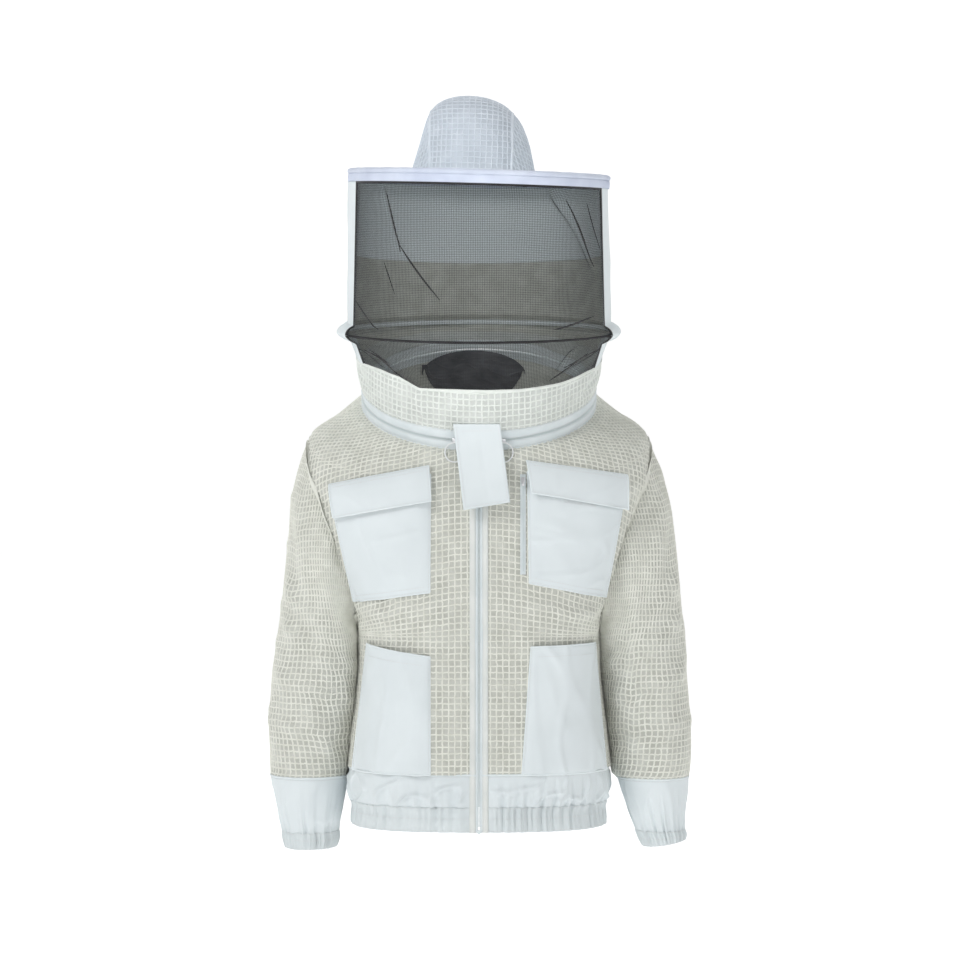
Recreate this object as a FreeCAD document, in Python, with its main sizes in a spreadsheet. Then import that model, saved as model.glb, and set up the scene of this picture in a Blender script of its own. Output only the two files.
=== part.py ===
"""Ventilated beekeeping jacket with a zip-on hood: a round hat over a net veil.

Millimetres.  +Z is up, the wearer faces -Y and the wearer's left is +X.  The origin
is the centre of the neck zip, the ring where the hood joins the jacket.  The jacket
and the hood stand open, as they hang on a body.  Each sewn or moulded piece is one
sub-part, and its Label names its STEP file.
"""
import FreeCAD
import Part
import Sketcher

import math
import os

from FreeCAD import Placement, Rotation, Vector

SIZES = {
    # fabric and sewing
    "fabric": 4.0, "thin": 1.2, "swing_gap": 1.0,
    # neck zip ring
    "neck_radius": 168.0, "neck_tilt": 25.0, "tape_wall": 2.0, "tape_height": 14.0,
    "coil_gap": 0.2, "coil_height": 1.3,
    "neck_facing_radius": 78.0, "neck_facing_x": -4.0, "neck_facing_z": 62.0, "neck_facing_gap": 2.0,
    # jacket body, from the neck down
    "front_line": 155.0, "front_power": 2.8, "back_power": 2.2, "yoke_power": 2.2,
    "yoke_level": -46.0, "yoke_lean": 22.0, "yoke_wide": 248.0, "yoke_deep": 165.0,
    "chest_level": -101.0, "chest_lean": 18.0, "chest_wide": 229.0, "chest_deep": 162.0,
    "arm_level": -181.0, "arm_lean": 12.0, "arm_wide": 212.0, "arm_deep": 158.0,
    "rib_level": -242.0, "rib_lean": 7.0, "rib_wide": 194.0, "rib_deep": 156.0,
    "waist_level": -333.0, "waist_lean": 0.0, "waist_wide": 172.0, "waist_deep": 155.0,
    "belly_level": -430.0, "belly_lean": 0.0, "belly_wide": 174.0, "belly_deep": 155.0,
    "hip_level": -530.0, "hip_lean": 0.0, "hip_wide": 182.0, "hip_deep": 155.0,
    "band_level": -592.0, "band_lean": 0.0, "band_wide": 178.0, "band_deep": 152.0,
    "edge_level": -620.0, "edge_lean": 0.0, "edge_wide": 181.0, "edge_deep": 152.0,
    "hem_top": -538.0, "elastic_top": -583.0,
    # shoulders and sleeves
    "arm_x": 180.0, "arm_z": -135.0, "arm_ball": 90.0, "arm_gap": 2.0,
    "cuff_top": -552.0, "wrist_top": -630.0, "sleeve_end": -655.0,
    # front zip
    "zip_half": 4.75, "teeth_half": 1.6, "facing": 7.0, "stop_height": 6.0,
    # pockets
    "bag_gap": 9.0, "bag_wall": 2.0, "bag_arm_gap": 3.0, "flap_gap": 12.5, "flap_wall": 2.0,
    "loop_near": 110.0, "loop_far": 160.0, "loop_top": -142.0, "loop_low": -160.0, "loop_wall": 0.8,
    # hood
    "collar_radius": 176.0, "collar_tilt": 16.3, "collar_y": -13.5, "collar_z": 50.0,
    "hoop_radius": 197.0, "hoop_tilt": 7.4, "hoop_y": -36.0, "hoop_z": 87.0,
    "hoop_casing": 5.0, "hoop_wire": 1.6,
    "veil_radius": 186.0, "veil_drop": 11.0, "veil_wall": 2.0, "panel_wall": 3.0,
    "net_angle": 68.0, "side_angle": 102.0, "back_split": 200.0,
    # hat
    "hat_y": -36.0, "hat_tilt": 5.0, "hat_roll": 1.6, "brim_radius": 185.0, "brim_low": 310.0,
    "brim_cover": 1.2, "brim_core": 2.6, "brim_binding": 4.2, "brim_wire": 1.4,
    "crown_x": -8.0, "crown_wide": 88.5, "crown_deep": 99.0, "crown_wall": 3.0,
    "crown_seam_low": -68.0, "crown_seam_high": 52.0,
    "sweatband_height": 30.0, "sweatband_wall": 2.0,
    "sweatband_foot_in": 0.3, "sweatband_top_in": 9.5,
    # small parts
    "tab_width": 65.0, "tab_length": 116.0, "tab_wall": 3.0, "tab_turn": 8.0, "tab_lean": 3.0,
    "tab_x": -3.0, "tab_back": 165.0, "tab_top": -49.0,
    "patch_width": 40.0, "patch_length": 30.0, "patch_up": 36.0,
    "slider_length": 15.0, "slider_width": 9.0, "slider_deep": 4.5, "slider_top": -110.0,
    "slider_gap": 0.6, "pull_gap": 0.5,
    "pull_length": 27.0, "pull_width": 6.0, "pull_wall": 1.4, "pull_top": -121.0,
    "pocket_zip_width": 8.0, "pocket_zip_length": 140.0, "pocket_zip_back": 155.5,
    "pocket_zip_x": 61.5, "pocket_zip_top": -118.0, "pocket_slider_top": -122.0,
    "pocket_slider_width": 6.0, "pocket_slider_length": 12.0, "pocket_slider_deep": 3.0,
    "neck_slider_angle": 10.8, "neck_slider_width": 10.0, "neck_slider_deep": 4.0,
    "neck_slider_high": 8.0, "ring_radius": 13.5, "ring_wire": 1.0, "ring_gap": 0.4, "ring_drop": 1.0,
}
LEVELS = ("yoke", "chest", "arm", "rib", "waist", "belly", "hip", "band", "edge")
SIDES = {"left": 1.0, "right": -1.0}

# Sleeve sections from the shoulder to the wrist: level, centre x, half width, half depth.
SLEEVES = {
    "left": (
        (-150, 235, 35, 70), (-233, 248, 40, 78), (-323, 240, 58, 80), (-400, 242, 60, 78),
        (-504, 246, 58, 68), (-552, 248, 52, 62), (-607, 259, 40, 52), (-630, 263, 34, 45),
        (-655, 266, 31, 42),
    ),
    "right": (
        (-150, 235, 35, 70), (-233, 247, 40, 78), (-323, 239, 58, 80), (-400, 240, 60, 78),
        (-504, 245, 58, 70), (-552, 245, 56, 64), (-607, 244, 45, 54), (-630, 244, 40, 47),
        (-655, 244, 37, 44),
    ),
}
# Crown sections above the brim: height, share of the base size, sideways drift of the centre.
CROWN = (
    (0, 1.0, 0), (26, 0.92, 0), (55, 0.83, 0), (78, 0.72, -3), (90, 0.62, -4), (99, 0.5, -5),
    (106, 0.35, -6), (110, 0.14, -6),
)

OVAL_POINTS = 24
# Reaches past the whole jacket in every direction: the size of the boxes that slice it.
FAR = 900.0

doc = FreeCAD.newDocument("BeekeepingJacket")
sheet = doc.addObject("Spreadsheet::Sheet", "Sizes")
for row, (alias, value) in enumerate(SIZES.items(), start=1):
    sheet.set("A%d" % row, alias)
    sheet.set("B%d" % row, str(value))
    sheet.setAlias("B%d" % row, alias)
doc.recompute()

PARTS = []


def size(alias):
    """The value that the sheet holds under this alias."""
    return float(sheet.get(alias))


def keep(item, label):
    """Names a finished sub-part and puts it on the list of files to write."""
    item.Label = label
    PARTS.append(item)
    return item


def bind(item, **formulas):
    """Ties properties of a document object to sheet cells; a bare word is an alias."""
    for name, formula in formulas.items():
        words = formula.replace("(", " ( ").replace(")", " ) ").split()
        bound = ["Sizes." + word if word in SIZES else word for word in words]
        item.setExpression(name, " ".join(bound))


def feature(label, shape):
    """A sub-part whose shape is built in code from the sheet's sizes."""
    item = doc.addObject("Part::Feature", label)
    item.Shape = shape.Solids[0] if len(shape.Solids) == 1 else shape
    return keep(item, label)


def tilted(centre, tilt, roll=0.0):
    """Placement at centre: the plane's back edge is raised by tilt, its left edge lowered by roll."""
    turn = Rotation(Vector(1, 0, 0), tilt).multiply(Rotation(Vector(0, 1, 0), roll))
    return Placement(Vector(*centre), turn)


def oval(half_width, half_depth, power, place, back_power=None):
    """Closed smooth curve, an ellipse at power 2 and squarer above it; the back half may differ."""
    points = []
    for step in range(OVAL_POINTS):
        angle = math.pi / 2 + 2 * math.pi * step / OVAL_POINTS
        across, along = math.cos(angle), math.sin(angle)
        bend = 2 / (back_power if back_power and along > 0 else power)
        x = half_width * math.copysign(abs(across) ** bend, across)
        y = half_depth * math.copysign(abs(along) ** bend, along)
        points.append(place.multVec(Vector(x, y, 0)))
    curve = Part.BSplineCurve()
    curve.interpolate(Points=points, PeriodicFlag=True)
    return Part.Wire(curve.toShape())


def box(low, high):
    """Solid box between two corners."""
    return Part.makeBox(high[0] - low[0], high[1] - low[1], high[2] - low[2], Vector(*low))


def prism(outline):
    """Solid of an outline of (x, z) points, run from far in front back to the middle of the body."""
    corners = [Vector(x, -FAR, z) for x, z in outline]
    return Part.Face(Part.makePolygon(corners + corners[:1])).extrude(Vector(0, FAR, 0))


# ---------------------------------------------------------------- jacket body

NECK = tilted((0, 0, 0), size("neck_tilt"))


def torso(grow):
    """Closed solid of the jacket body, grown outward by grow."""
    radius = size("neck_radius") + grow
    start = NECK.multiply(Placement(Vector(0, 0, -size("tape_height")), Rotation()))
    wires = [oval(radius, radius, 2.0, start)]
    for level in LEVELS:
        lean = size(level + "_lean")
        deep = size(level + "_deep")
        middle = deep * math.cos(math.radians(lean)) - size("front_line")
        place = tilted((0, middle, size(level + "_level")), lean)
        power = size("yoke_power") if level == "yoke" else size("front_power")
        wires.append(oval(size(level + "_wide") + grow, deep + grow, power, place, size("back_power")))
    return Part.makeLoft(wires, True, True)


def shoulder_ball(side, radius):
    """Sphere about the point that the sleeve swings about."""
    return Part.makeSphere(radius, Vector(SIDES[side] * size("arm_x"), 0, size("arm_z")))


def make_jacket_body(skin):
    """Front panels, back, plain hem panel, gathered hem elastic, zip facings and front zip."""
    zip_half = size("zip_half")
    plain = zip_half + size("facing")
    hem, elastic = size("hem_top"), size("elastic_top")
    feature("back_panel", skin.common(box((-FAR, 0, hem), (FAR, FAR, FAR))))
    front_slot = box((-plain, -FAR, -FAR), (plain, 0, FAR))
    for label, low, high in (("hem_panel", elastic, hem), ("hem_elastic", -FAR, elastic)):
        feature(label, skin.common(box((-FAR, -FAR, low), (FAR, FAR, high))).cut(front_slot))
    teeth = size("teeth_half")
    for side, sign in SIDES.items():
        strips = (("front_panel_", plain, FAR, hem), ("front_facing_", zip_half, plain, -FAR),
                  ("front_zip_tape_", teeth, zip_half, -FAR))
        for label, near, away, low in strips:
            across = sorted((sign * near, sign * away))
            strip = box((across[0], -FAR, low), (across[1], 0, FAR))
            feature(label + side, skin.common(strip))
    stop_top = size("edge_level") + size("stop_height")
    feature("front_zip_teeth", skin.common(box((-teeth, -FAR, stop_top), (teeth, 0, FAR))))
    feature("front_zip_stop", skin.common(box((-teeth, -FAR, -FAR), (teeth, 0, stop_top))))


def ring(label, radius, wall, low, high, place):
    """Flat band standing on edge round the ring's axis: one cylinder cut from another."""
    outer = doc.addObject("Part::Cylinder", label + "_outer")
    inner = doc.addObject("Part::Cylinder", label + "_inner")
    bind(outer, Radius=radius + " + " + wall, Height=high + " - ( " + low + " )")
    bind(inner, Radius=radius, Height=high + " - ( " + low + " )")
    for item in (outer, inner):
        item.Placement = place
    band = doc.addObject("Part::Cut", label)
    band.Base = outer
    band.Tool = inner
    return keep(band, label)


def neck_level(height):
    """Placement on the neck ring's own axis, height above its plane."""
    return NECK.multiply(Placement(Vector(0, 0, height), Rotation()))


def make_neck_zip():
    """Two tape rings and two coils that meet in the neck ring's plane."""
    gap, coil, tape = size("coil_gap"), size("coil_height"), size("tape_height")
    rows = (
        ("neck_zip_tape_jacket", "tape_height", "coil_height", -tape),
        ("neck_zip_coil_jacket", "coil_height", "coil_gap", -coil),
        ("neck_zip_coil_hood", "coil_height", "coil_gap", gap),
        ("neck_zip_tape_hood", "tape_height", "coil_height", coil),
    )
    for label, high, low, start in rows:
        ring(label, "neck_radius", "tape_wall", low, high, neck_level(start))


def make_neck_facing(inner):
    """Half-moon facing on the inside of the back, under the neck zip."""
    lined = inner.cut(torso(-size("fabric") - size("thin")))
    middle = Vector(size("neck_facing_x"), 0, size("neck_facing_z"))
    half_moon = Part.makeCylinder(size("neck_facing_radius"), FAR, middle, Vector(0, 1, 0))
    foot = NECK.multVec(Vector(0, 0, -size("tape_height") - size("neck_facing_gap")))
    below_zip = Part.makeCylinder(FAR, FAR, foot, NECK.Rotation.multVec(Vector(0, 0, -1)))
    feature("neck_facing", lined.common(half_moon).common(below_zip))


# ---------------------------------------------------------------- sleeves

def sleeve_tube(side, top, bottom, grow):
    """Solid sleeve between two levels of the section table."""
    wires = []
    for level, x, half_width, half_depth in SLEEVES[side]:
        if bottom <= level <= top:
            place = tilted((SIDES[side] * x, 0, level), 0)
            wires.append(oval(half_width + grow, half_depth + grow, 2.0, place))
    return Part.makeLoft(wires, True, True)


def make_sleeve(side, grown_body):
    """Mesh sleeve with its rounded head, plain cuff and gathered wrist elastic."""
    wall = size("fabric")
    cuff, wrist, end = size("cuff_top"), size("wrist_top"), size("sleeve_end")
    outer = sleeve_tube(side, 0, cuff, 0).fuse(shoulder_ball(side, size("arm_ball")))
    inner = sleeve_tube(side, 0, cuff, -wall).fuse(shoulder_ball(side, size("arm_ball") - wall))
    shell = outer.cut(inner).cut(grown_body)
    biggest = max(shell.Solids, key=lambda solid: solid.Volume)
    feature("sleeve_" + side, biggest)
    for label, high, low in (("cuff_", cuff, wrist), ("wrist_elastic_", wrist, end)):
        tube = sleeve_tube(side, high, low, 0).cut(sleeve_tube(side, high, low, -wall))
        feature(label + side, tube)


# ---------------------------------------------------------------- pockets

CHEST_BAG = {
    "left": ((69, -112), (206, -128), (204, -175), (181, -291), (71, -270)),
    "right": ((-68.5, -116), (-206, -140), (-206, -175), (-178, -298), (-68.5, -283)),
}
CHEST_FLAP = {
    "left": ((66, -99), (212, -119), (212, -167), (74, -143)),
    "right": ((-70, -106), (-212, -131), (-206, -179), (-68.5, -154)),
}
LOWER_BAG = {
    "left": ((72, -359), (152, -359), (152, -538), (60, -538)),
    "right": ((-68, -373), (-152, -366), (-152, -538), (-68, -538)),
}


OPEN_TOP = 20.0


def inset(outline, wall):
    """The outline's hollow: sides and floor pulled in by wall, top left open."""
    first, second = outline[0], outline[1]
    middle = sum(x for x, z in outline) / len(outline)
    floor = [(x - math.copysign(wall, x - middle), z + wall) for x, z in outline[2:]]
    upper = [(x - math.copysign(wall, x - middle), z + OPEN_TOP) for x, z in (first, second)]
    return upper + floor


def make_bag(label, outline, skins, clear):
    """Pocket sewn on three sides and open at the top, standing off the jacket."""
    block = skins["bag_out"].cut(skins["body"]).common(prism(outline))
    hollow = skins["bag_in"].common(prism(inset(outline, size("bag_wall"))))
    return feature(label, block.cut(hollow).cut(clear))


def make_pockets(skins):
    """Chest pockets with flaps and loop strips, and open lower pockets."""
    for side, sign in SIDES.items():
        clear = shoulder_ball(side, size("arm_ball") + size("bag_arm_gap"))
        make_bag("chest_pocket_" + side, CHEST_BAG[side], skins, clear)
        make_bag("lower_pocket_" + side, LOWER_BAG[side], skins, clear)
        flap = skins["flap_out"].cut(skins["flap_in"]).common(prism(CHEST_FLAP[side]))
        feature("chest_flap_" + side, flap.cut(clear))
        across = sorted((sign * size("loop_near"), sign * size("loop_far")))
        strip = box((across[0], -FAR, size("loop_low")), (across[1], 0, size("loop_top")))
        feature("chest_loop_strip_" + side, skins["loop"].cut(skins["bag_out"]).common(strip))


# ---------------------------------------------------------------- hood

def hoop_place(height):
    """Placement on the hoop's own axis, height above its plane."""
    middle = tilted((0, size("hoop_y"), size("hoop_z")), size("hoop_tilt"))
    return middle.multiply(Placement(Vector(0, 0, height), Rotation()))


def hood_levels():
    """Placement and radius of each ring that the hood hangs on, from the collar foot up."""
    return {
        "foot": (neck_level(size("tape_height")), size("neck_radius") + size("tape_wall")),
        "collar": (tilted((0, size("collar_y"), size("collar_z")), size("collar_tilt")),
                   size("collar_radius")),
        "hoop": (hoop_place(0), size("hoop_radius")),
        "under_hoop": (hoop_place(-size("hoop_casing")), size("hoop_radius")),
        "over_hoop": (hoop_place(size("hoop_casing")), size("hoop_radius")),
        "veil": (hat_place(-size("veil_drop")), size("veil_radius")),
    }


def cone_shell(low, high, wall):
    """Shell between two of the hood's rings, wall thick, inside their radius."""
    levels = hood_levels()
    solids = []
    for grow in (0.0, -wall):
        wires = []
        for name in (low, high):
            place, radius = levels[name]
            circle = Part.Circle(Vector(0, 0, 0), Vector(0, 0, 1), radius + grow)
            edge = circle.toShape()
            edge.Placement = place
            wires.append(Part.Wire(edge))
        solids.append(Part.makeLoft(wires, True, True))
    return solids[0].cut(solids[1])


def wedge(start, end):
    """Upright slice of space round the hood's centre; angles are from the front, left positive."""
    centre = Vector(0, size("hat_y"), -FAR)
    corners = [centre]
    for step in range(5):
        angle = math.radians(start + (end - start) * step / 4)
        corners.append(centre + Vector(math.sin(angle), -math.cos(angle), 0) * FAR)
    return Part.Face(Part.makePolygon(corners + corners[:1])).extrude(Vector(0, 0, 2 * FAR))


def make_hood():
    """Collar, net, side panels, back panels, hoop and its casing."""
    net, side_end = size("net_angle"), size("side_angle")
    upper = cone_shell("over_hoop", "veil", size("panel_wall"))
    lower = cone_shell("collar", "under_hoop", size("panel_wall"))
    feature("veil_net_front", upper.common(wedge(-net, net)))
    feature("veil_net_lower", lower.common(wedge(-net, net)))
    tall = upper.fuse(lower)
    feature("veil_side_left", tall.common(wedge(net, side_end)))
    feature("veil_side_right", tall.common(wedge(-side_end, -net)))
    back = tall.common(wedge(side_end, 360 - side_end))
    split = size("back_split")
    feature("veil_back_lower", back.common(box((-FAR, -FAR, -FAR), (FAR, FAR, split))))
    feature("veil_back_upper", back.common(box((-FAR, -FAR, split), (FAR, FAR, FAR))))
    feature("collar_panel", cone_shell("foot", "collar", size("panel_wall")))
    hoop("veil_hoop_casing", "hoop_radius", "hoop_casing", hood_levels()["hoop"][0], "hoop_wire")
    torus("veil_hoop_wire", "hoop_radius", "hoop_wire", hood_levels()["hoop"][0])


def torus(label, radius, thickness, place):
    """Round bar bent into a ring."""
    item = doc.addObject("Part::Torus", label)
    bind(item, Radius1=radius, Radius2=thickness)
    item.Placement = place
    return keep(item, label)


def hoop(label, radius, thickness, place, core):
    """Sleeve of fabric round a hoop wire: a ring with the wire's room cut out."""
    outer = doc.addObject("Part::Torus", label + "_outer")
    room = doc.addObject("Part::Torus", label + "_room")
    bind(outer, Radius1=radius, Radius2=thickness)
    bind(room, Radius1=radius, Radius2=core)
    for item in (outer, room):
        item.Placement = place
    cut = doc.addObject("Part::Cut", label)
    cut.Base = outer
    cut.Tool = room
    return keep(cut, label)


# ---------------------------------------------------------------- hat

def hat_place(height):
    """Placement on the hat's own axis, height above the brim's foot; the hat leans a little."""
    low = tilted((0, size("hat_y"), size("brim_low")), size("hat_tilt"), size("hat_roll"))
    return low.multiply(Placement(Vector(0, 0, height), Rotation()))


def crown_solid(grow):
    """Closed dome of the crown."""
    wires = []
    for height, share, drift in CROWN:
        place = hat_place(height).multiply(Placement(Vector(size("crown_x") + drift, 0, 0), Rotation()))
        wide = size("crown_wide") * share + grow
        deep = size("crown_deep") * share + grow
        wires.append(oval(wide, deep, 2.0, place))
    return Part.makeLoft(wires, True, True)


def make_crown():
    """Two side panels and a centre strip, each a shell, and the sweatband inside."""
    top = size("brim_cover") * 2 + size("brim_core")
    lift = hat_place(top).multiply(hat_place(0).inverse())
    outer, inner = crown_solid(0), crown_solid(-size("crown_wall"))
    inner.Placement = Placement(Vector(0, 0, -size("crown_wall")), Rotation())
    dome = outer.cut(inner)
    dome.Placement = lift
    low, high = size("crown_seam_low"), size("crown_seam_high")
    bands = (("crown_right", -FAR, low), ("crown_center", low, high), ("crown_left", high, FAR))
    for label, start, end in bands:
        feature(label, dome.common(box((start, -FAR, -FAR), (end, FAR, FAR))))
    make_sweatband()


def make_sweatband():
    """Band inside the foot of the crown, leaning in as the crown does."""
    wall, high = size("sweatband_wall"), size("sweatband_height")
    solids = []
    for grow in (0.0, -wall):
        wires = []
        for height, drawn_in in ((0.0, size("sweatband_foot_in")), (high, size("sweatband_top_in"))):
            place = hat_place(height).multiply(Placement(Vector(size("crown_x"), 0, 0), Rotation()))
            shrink = grow - size("crown_wall") - drawn_in
            wires.append(oval(size("crown_wide") + shrink, size("crown_deep") + shrink, 2.0, place))
        solids.append(Part.makeLoft(wires, True, True))
    feature("sweatband", solids[0].cut(solids[1]))


HOLE_REACH = 20.0


def brim_hole():
    """Oval post that fits the head opening of the brim."""
    place = hat_place(-HOLE_REACH).multiply(Placement(Vector(size("crown_x"), 0, 0), Rotation()))
    wide = size("crown_wide") - size("crown_wall")
    deep = size("crown_deep") - size("crown_wall")
    up = hat_place(0).Rotation.multVec(Vector(0, 0, 2 * HOLE_REACH))
    return Part.Face(oval(wide, deep, 2.0, place)).extrude(up)


def make_brim():
    """Stiff core between two covers, with a wired and bound edge."""
    cover, core = size("brim_cover"), size("brim_core")
    middle = cover + core / 2
    binding = Part.makeTorus(size("brim_radius"), size("brim_binding"))
    binding.Placement = hat_place(middle)
    rows = (("brim_under_cover", 0.0, cover), ("brim_core", cover, core),
            ("brim_top_cover", cover + core, cover))
    for label, start, height in rows:
        disc = Part.makeCylinder(size("brim_radius"), height)
        disc.Placement = hat_place(start)
        feature(label, disc.cut(binding).cut(brim_hole()))
    hoop("brim_binding", "brim_radius", "brim_binding", hat_place(middle), "brim_wire")
    torus("brim_wire", "brim_radius", "brim_wire", hat_place(middle))
    low = -size("veil_drop")
    tape_top = middle - size("brim_binding")
    tape = Part.makeCylinder(size("veil_radius"), tape_top - low)
    tape = tape.cut(Part.makeCylinder(size("veil_radius") - size("veil_wall"), tape_top - low))
    tape.Placement = hat_place(low)
    feature("veil_header_tape", tape.cut(binding))


# ---------------------------------------------------------------- tab, sliders and pulls

def plate_body(label, width, length, thick, place):
    """Flat sewn or stamped piece: a rectangle hanging from its top edge, padded forward."""
    body = doc.addObject("PartDesign::Body", label)
    sketch = body.newObject("Sketcher::SketchObject", label + "_outline")
    plane = next(item for item in body.Origin.OriginFeatures if item.Role == "XZ_Plane")
    sketch.AttachmentSupport = [(plane, "")]
    sketch.MapMode = "FlatFace"
    half, drop = size(width) / 2, size(length)
    corners = [Vector(-half, 0, 0), Vector(half, 0, 0), Vector(half, -drop, 0), Vector(-half, -drop, 0)]
    for start in range(4):
        sketch.addGeometry(Part.LineSegment(corners[start], corners[(start + 1) % 4]), False)
    for start in range(4):
        sketch.addConstraint(Sketcher.Constraint("Coincident", start, 2, (start + 1) % 4, 1))
    for edge, direction in enumerate(("Horizontal", "Vertical", "Horizontal", "Vertical")):
        sketch.addConstraint(Sketcher.Constraint(direction, edge))
    sketch.addConstraint(Sketcher.Constraint("Symmetric", 0, 1, 0, 2, -1, 1))
    across = sketch.addConstraint(Sketcher.Constraint("DistanceX", 0, 1, 0, 2, size(width)))
    down = sketch.addConstraint(Sketcher.Constraint("DistanceY", 1, 2, 1, 1, size(length)))
    sketch.setExpression("Constraints[%d]" % across, "Sizes." + width)
    sketch.setExpression("Constraints[%d]" % down, "Sizes." + length)
    pad = body.newObject("PartDesign::Pad", label + "_pad")
    pad.Profile = sketch
    bind(pad, Length=thick)
    body.Placement = place
    return keep(body, label)


def standing(x, y, z):
    """Placement of an upright plate whose top edge is centred at a point and whose back is at y."""
    return Placement(Vector(x, y, z), Rotation())


def make_tab():
    """Neck tab on the hood's collar, over the ends of the neck zip, with its hook patch."""
    turn = Rotation(Vector(0, 1, 0), -size("tab_turn")).multiply(
        Rotation(Vector(1, 0, 0), -size("tab_lean")))
    place = Placement(Vector(size("tab_x"), -size("tab_back"), size("tab_top")), turn)
    plate_body("neck_tab", "tab_width", "tab_length", "tab_wall", place)
    low = Vector(0, size("thin"), size("patch_up") - size("tab_length"))
    hook = place.multiply(Placement(low, Rotation()))
    plate_body("tab_hook_patch", "patch_width", "patch_length", "thin", hook)


def make_front_zip_slider():
    """Slider on the front zip and the pull that hangs from its lower end."""
    back = -size("front_line") - size("slider_gap")
    plate_body("front_zip_slider", "slider_width", "slider_length", "slider_deep",
               standing(0, back, size("slider_top")))
    plate_body("front_zip_pull", "pull_width", "pull_length", "pull_wall",
               standing(0, back - size("slider_deep") - size("pull_gap"), size("pull_top")))


def make_pocket_zip():
    """Short zip on the jacket beside the wearer's left chest pocket, with its slider."""
    x, back = size("pocket_zip_x"), -size("pocket_zip_back")
    plate_body("pocket_zip_tape", "pocket_zip_width", "pocket_zip_length", "thin",
               standing(x, back, size("pocket_zip_top")))
    plate_body("pocket_zip_slider", "pocket_slider_width", "pocket_slider_length", "pocket_slider_deep",
               standing(x, back - size("thin") - size("pull_gap"), size("pocket_slider_top")))


def make_neck_sliders():
    """Two sliders side by side at the front of the neck zip, each with a ring pull."""
    deep, high = size("neck_slider_deep"), size("neck_slider_high")
    start = size("neck_radius") + size("tape_wall") + size("slider_gap")
    for side, sign in SIDES.items():
        spin = Placement(Vector(0, 0, 0), Rotation(Vector(0, 0, 1), sign * size("neck_slider_angle")))
        front = NECK.multiply(spin)
        slider = doc.addObject("Part::Box", "neck_slider_" + side)
        bind(slider, Length="neck_slider_width", Width="neck_slider_deep", Height="neck_slider_high")
        corner = Vector(-size("neck_slider_width") / 2, -start - deep, -high / 2)
        slider.Placement = front.multiply(Placement(corner, Rotation()))
        keep(slider, "neck_slider_" + side)
        front_of = -start - deep - size("ring_wire") - size("ring_gap")
        hang = Placement(Vector(0, front_of, -size("ring_drop")),
                         Rotation(Vector(1, 0, 0), -size("neck_tilt")))
        drop = Placement(Vector(0, 0, -size("ring_radius")), Rotation(Vector(1, 0, 0), 90))
        torus("neck_ring_pull_" + side, "ring_radius", "ring_wire", front.multiply(hang).multiply(drop))


# ---------------------------------------------------------------- whole jacket

def make_all():
    """Builds every sub-part."""
    body = torso(0)
    inner = torso(-size("fabric"))
    skin = body.cut(inner)
    for side in SIDES:
        skin = skin.cut(shoulder_ball(side, size("arm_ball") + size("arm_gap")))
    grown = torso(size("swing_gap"))
    skins = {
        "body": body,
        "bag_in": torso(size("bag_gap")),
        "bag_out": torso(size("bag_gap") + size("bag_wall")),
        "loop": torso(size("bag_gap") + size("bag_wall") + size("loop_wall")),
        "flap_in": torso(size("flap_gap")),
        "flap_out": torso(size("flap_gap") + size("flap_wall")),
    }
    make_jacket_body(skin)
    make_neck_zip()
    make_neck_facing(inner)
    for side in SIDES:
        make_sleeve(side, grown)
    make_pockets(skins)
    make_hood()
    make_crown()
    make_brim()
    make_tab()
    make_front_zip_slider()
    make_pocket_zip()
    make_neck_sliders()


def write_all():
    """Checks every object and every sub-part, then writes the sub-parts."""
    doc.recompute()
    for item in doc.Objects:
        if "Invalid" in item.State or "Error" in item.State:
            raise RuntimeError("%s did not recompute: %s" % (item.Label, item.State))
    for item in PARTS:
        shape = item.Shape
        if shape.isNull() or not shape.isValid() or not shape.Solids:
            raise RuntimeError("%s has no valid solid" % item.Label)
    os.makedirs("parts", exist_ok=True)
    for item in PARTS:
        item.Shape.exportStep("parts/%s.step" % item.Label)
        print("%-26s %2d solid %10.0f mm3" % (item.Label, len(item.Shape.Solids), item.Shape.Volume))


make_all()
write_all()
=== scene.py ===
"""Looks of the ventilated beekeeping jacket and its round-hat veil hood.

Shapes are worked out in millimetres in the frame's own axes (+Z up, the wearer faces -Y,
the wearer's left is +X, origin at the centre of the neck zip) and turned into metres
when a mesh is made.
"""

import math

import bmesh
import bpy
import numpy as np
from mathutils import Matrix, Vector
from mathutils.bvhtree import BVHTree


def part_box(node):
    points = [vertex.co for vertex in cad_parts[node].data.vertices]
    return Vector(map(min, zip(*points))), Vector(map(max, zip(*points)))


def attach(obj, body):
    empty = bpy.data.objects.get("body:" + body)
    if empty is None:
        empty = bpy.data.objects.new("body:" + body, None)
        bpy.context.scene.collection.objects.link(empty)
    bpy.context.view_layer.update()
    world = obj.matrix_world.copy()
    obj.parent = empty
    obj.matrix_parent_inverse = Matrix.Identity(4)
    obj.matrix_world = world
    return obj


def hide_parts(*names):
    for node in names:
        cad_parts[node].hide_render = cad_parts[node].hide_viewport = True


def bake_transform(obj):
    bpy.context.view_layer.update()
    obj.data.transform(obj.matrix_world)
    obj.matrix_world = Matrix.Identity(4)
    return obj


MM = 0.001
SIDES = {"left": 1.0, "right": -1.0}
rng = np.random.default_rng(7)

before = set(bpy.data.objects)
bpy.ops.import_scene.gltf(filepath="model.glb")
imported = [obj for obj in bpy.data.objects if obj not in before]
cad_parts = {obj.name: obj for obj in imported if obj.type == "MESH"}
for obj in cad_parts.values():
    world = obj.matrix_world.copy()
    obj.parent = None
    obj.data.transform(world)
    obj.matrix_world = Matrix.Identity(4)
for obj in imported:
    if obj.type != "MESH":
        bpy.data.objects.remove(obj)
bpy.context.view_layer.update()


# ---------------------------------------------------------------- materials

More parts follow.
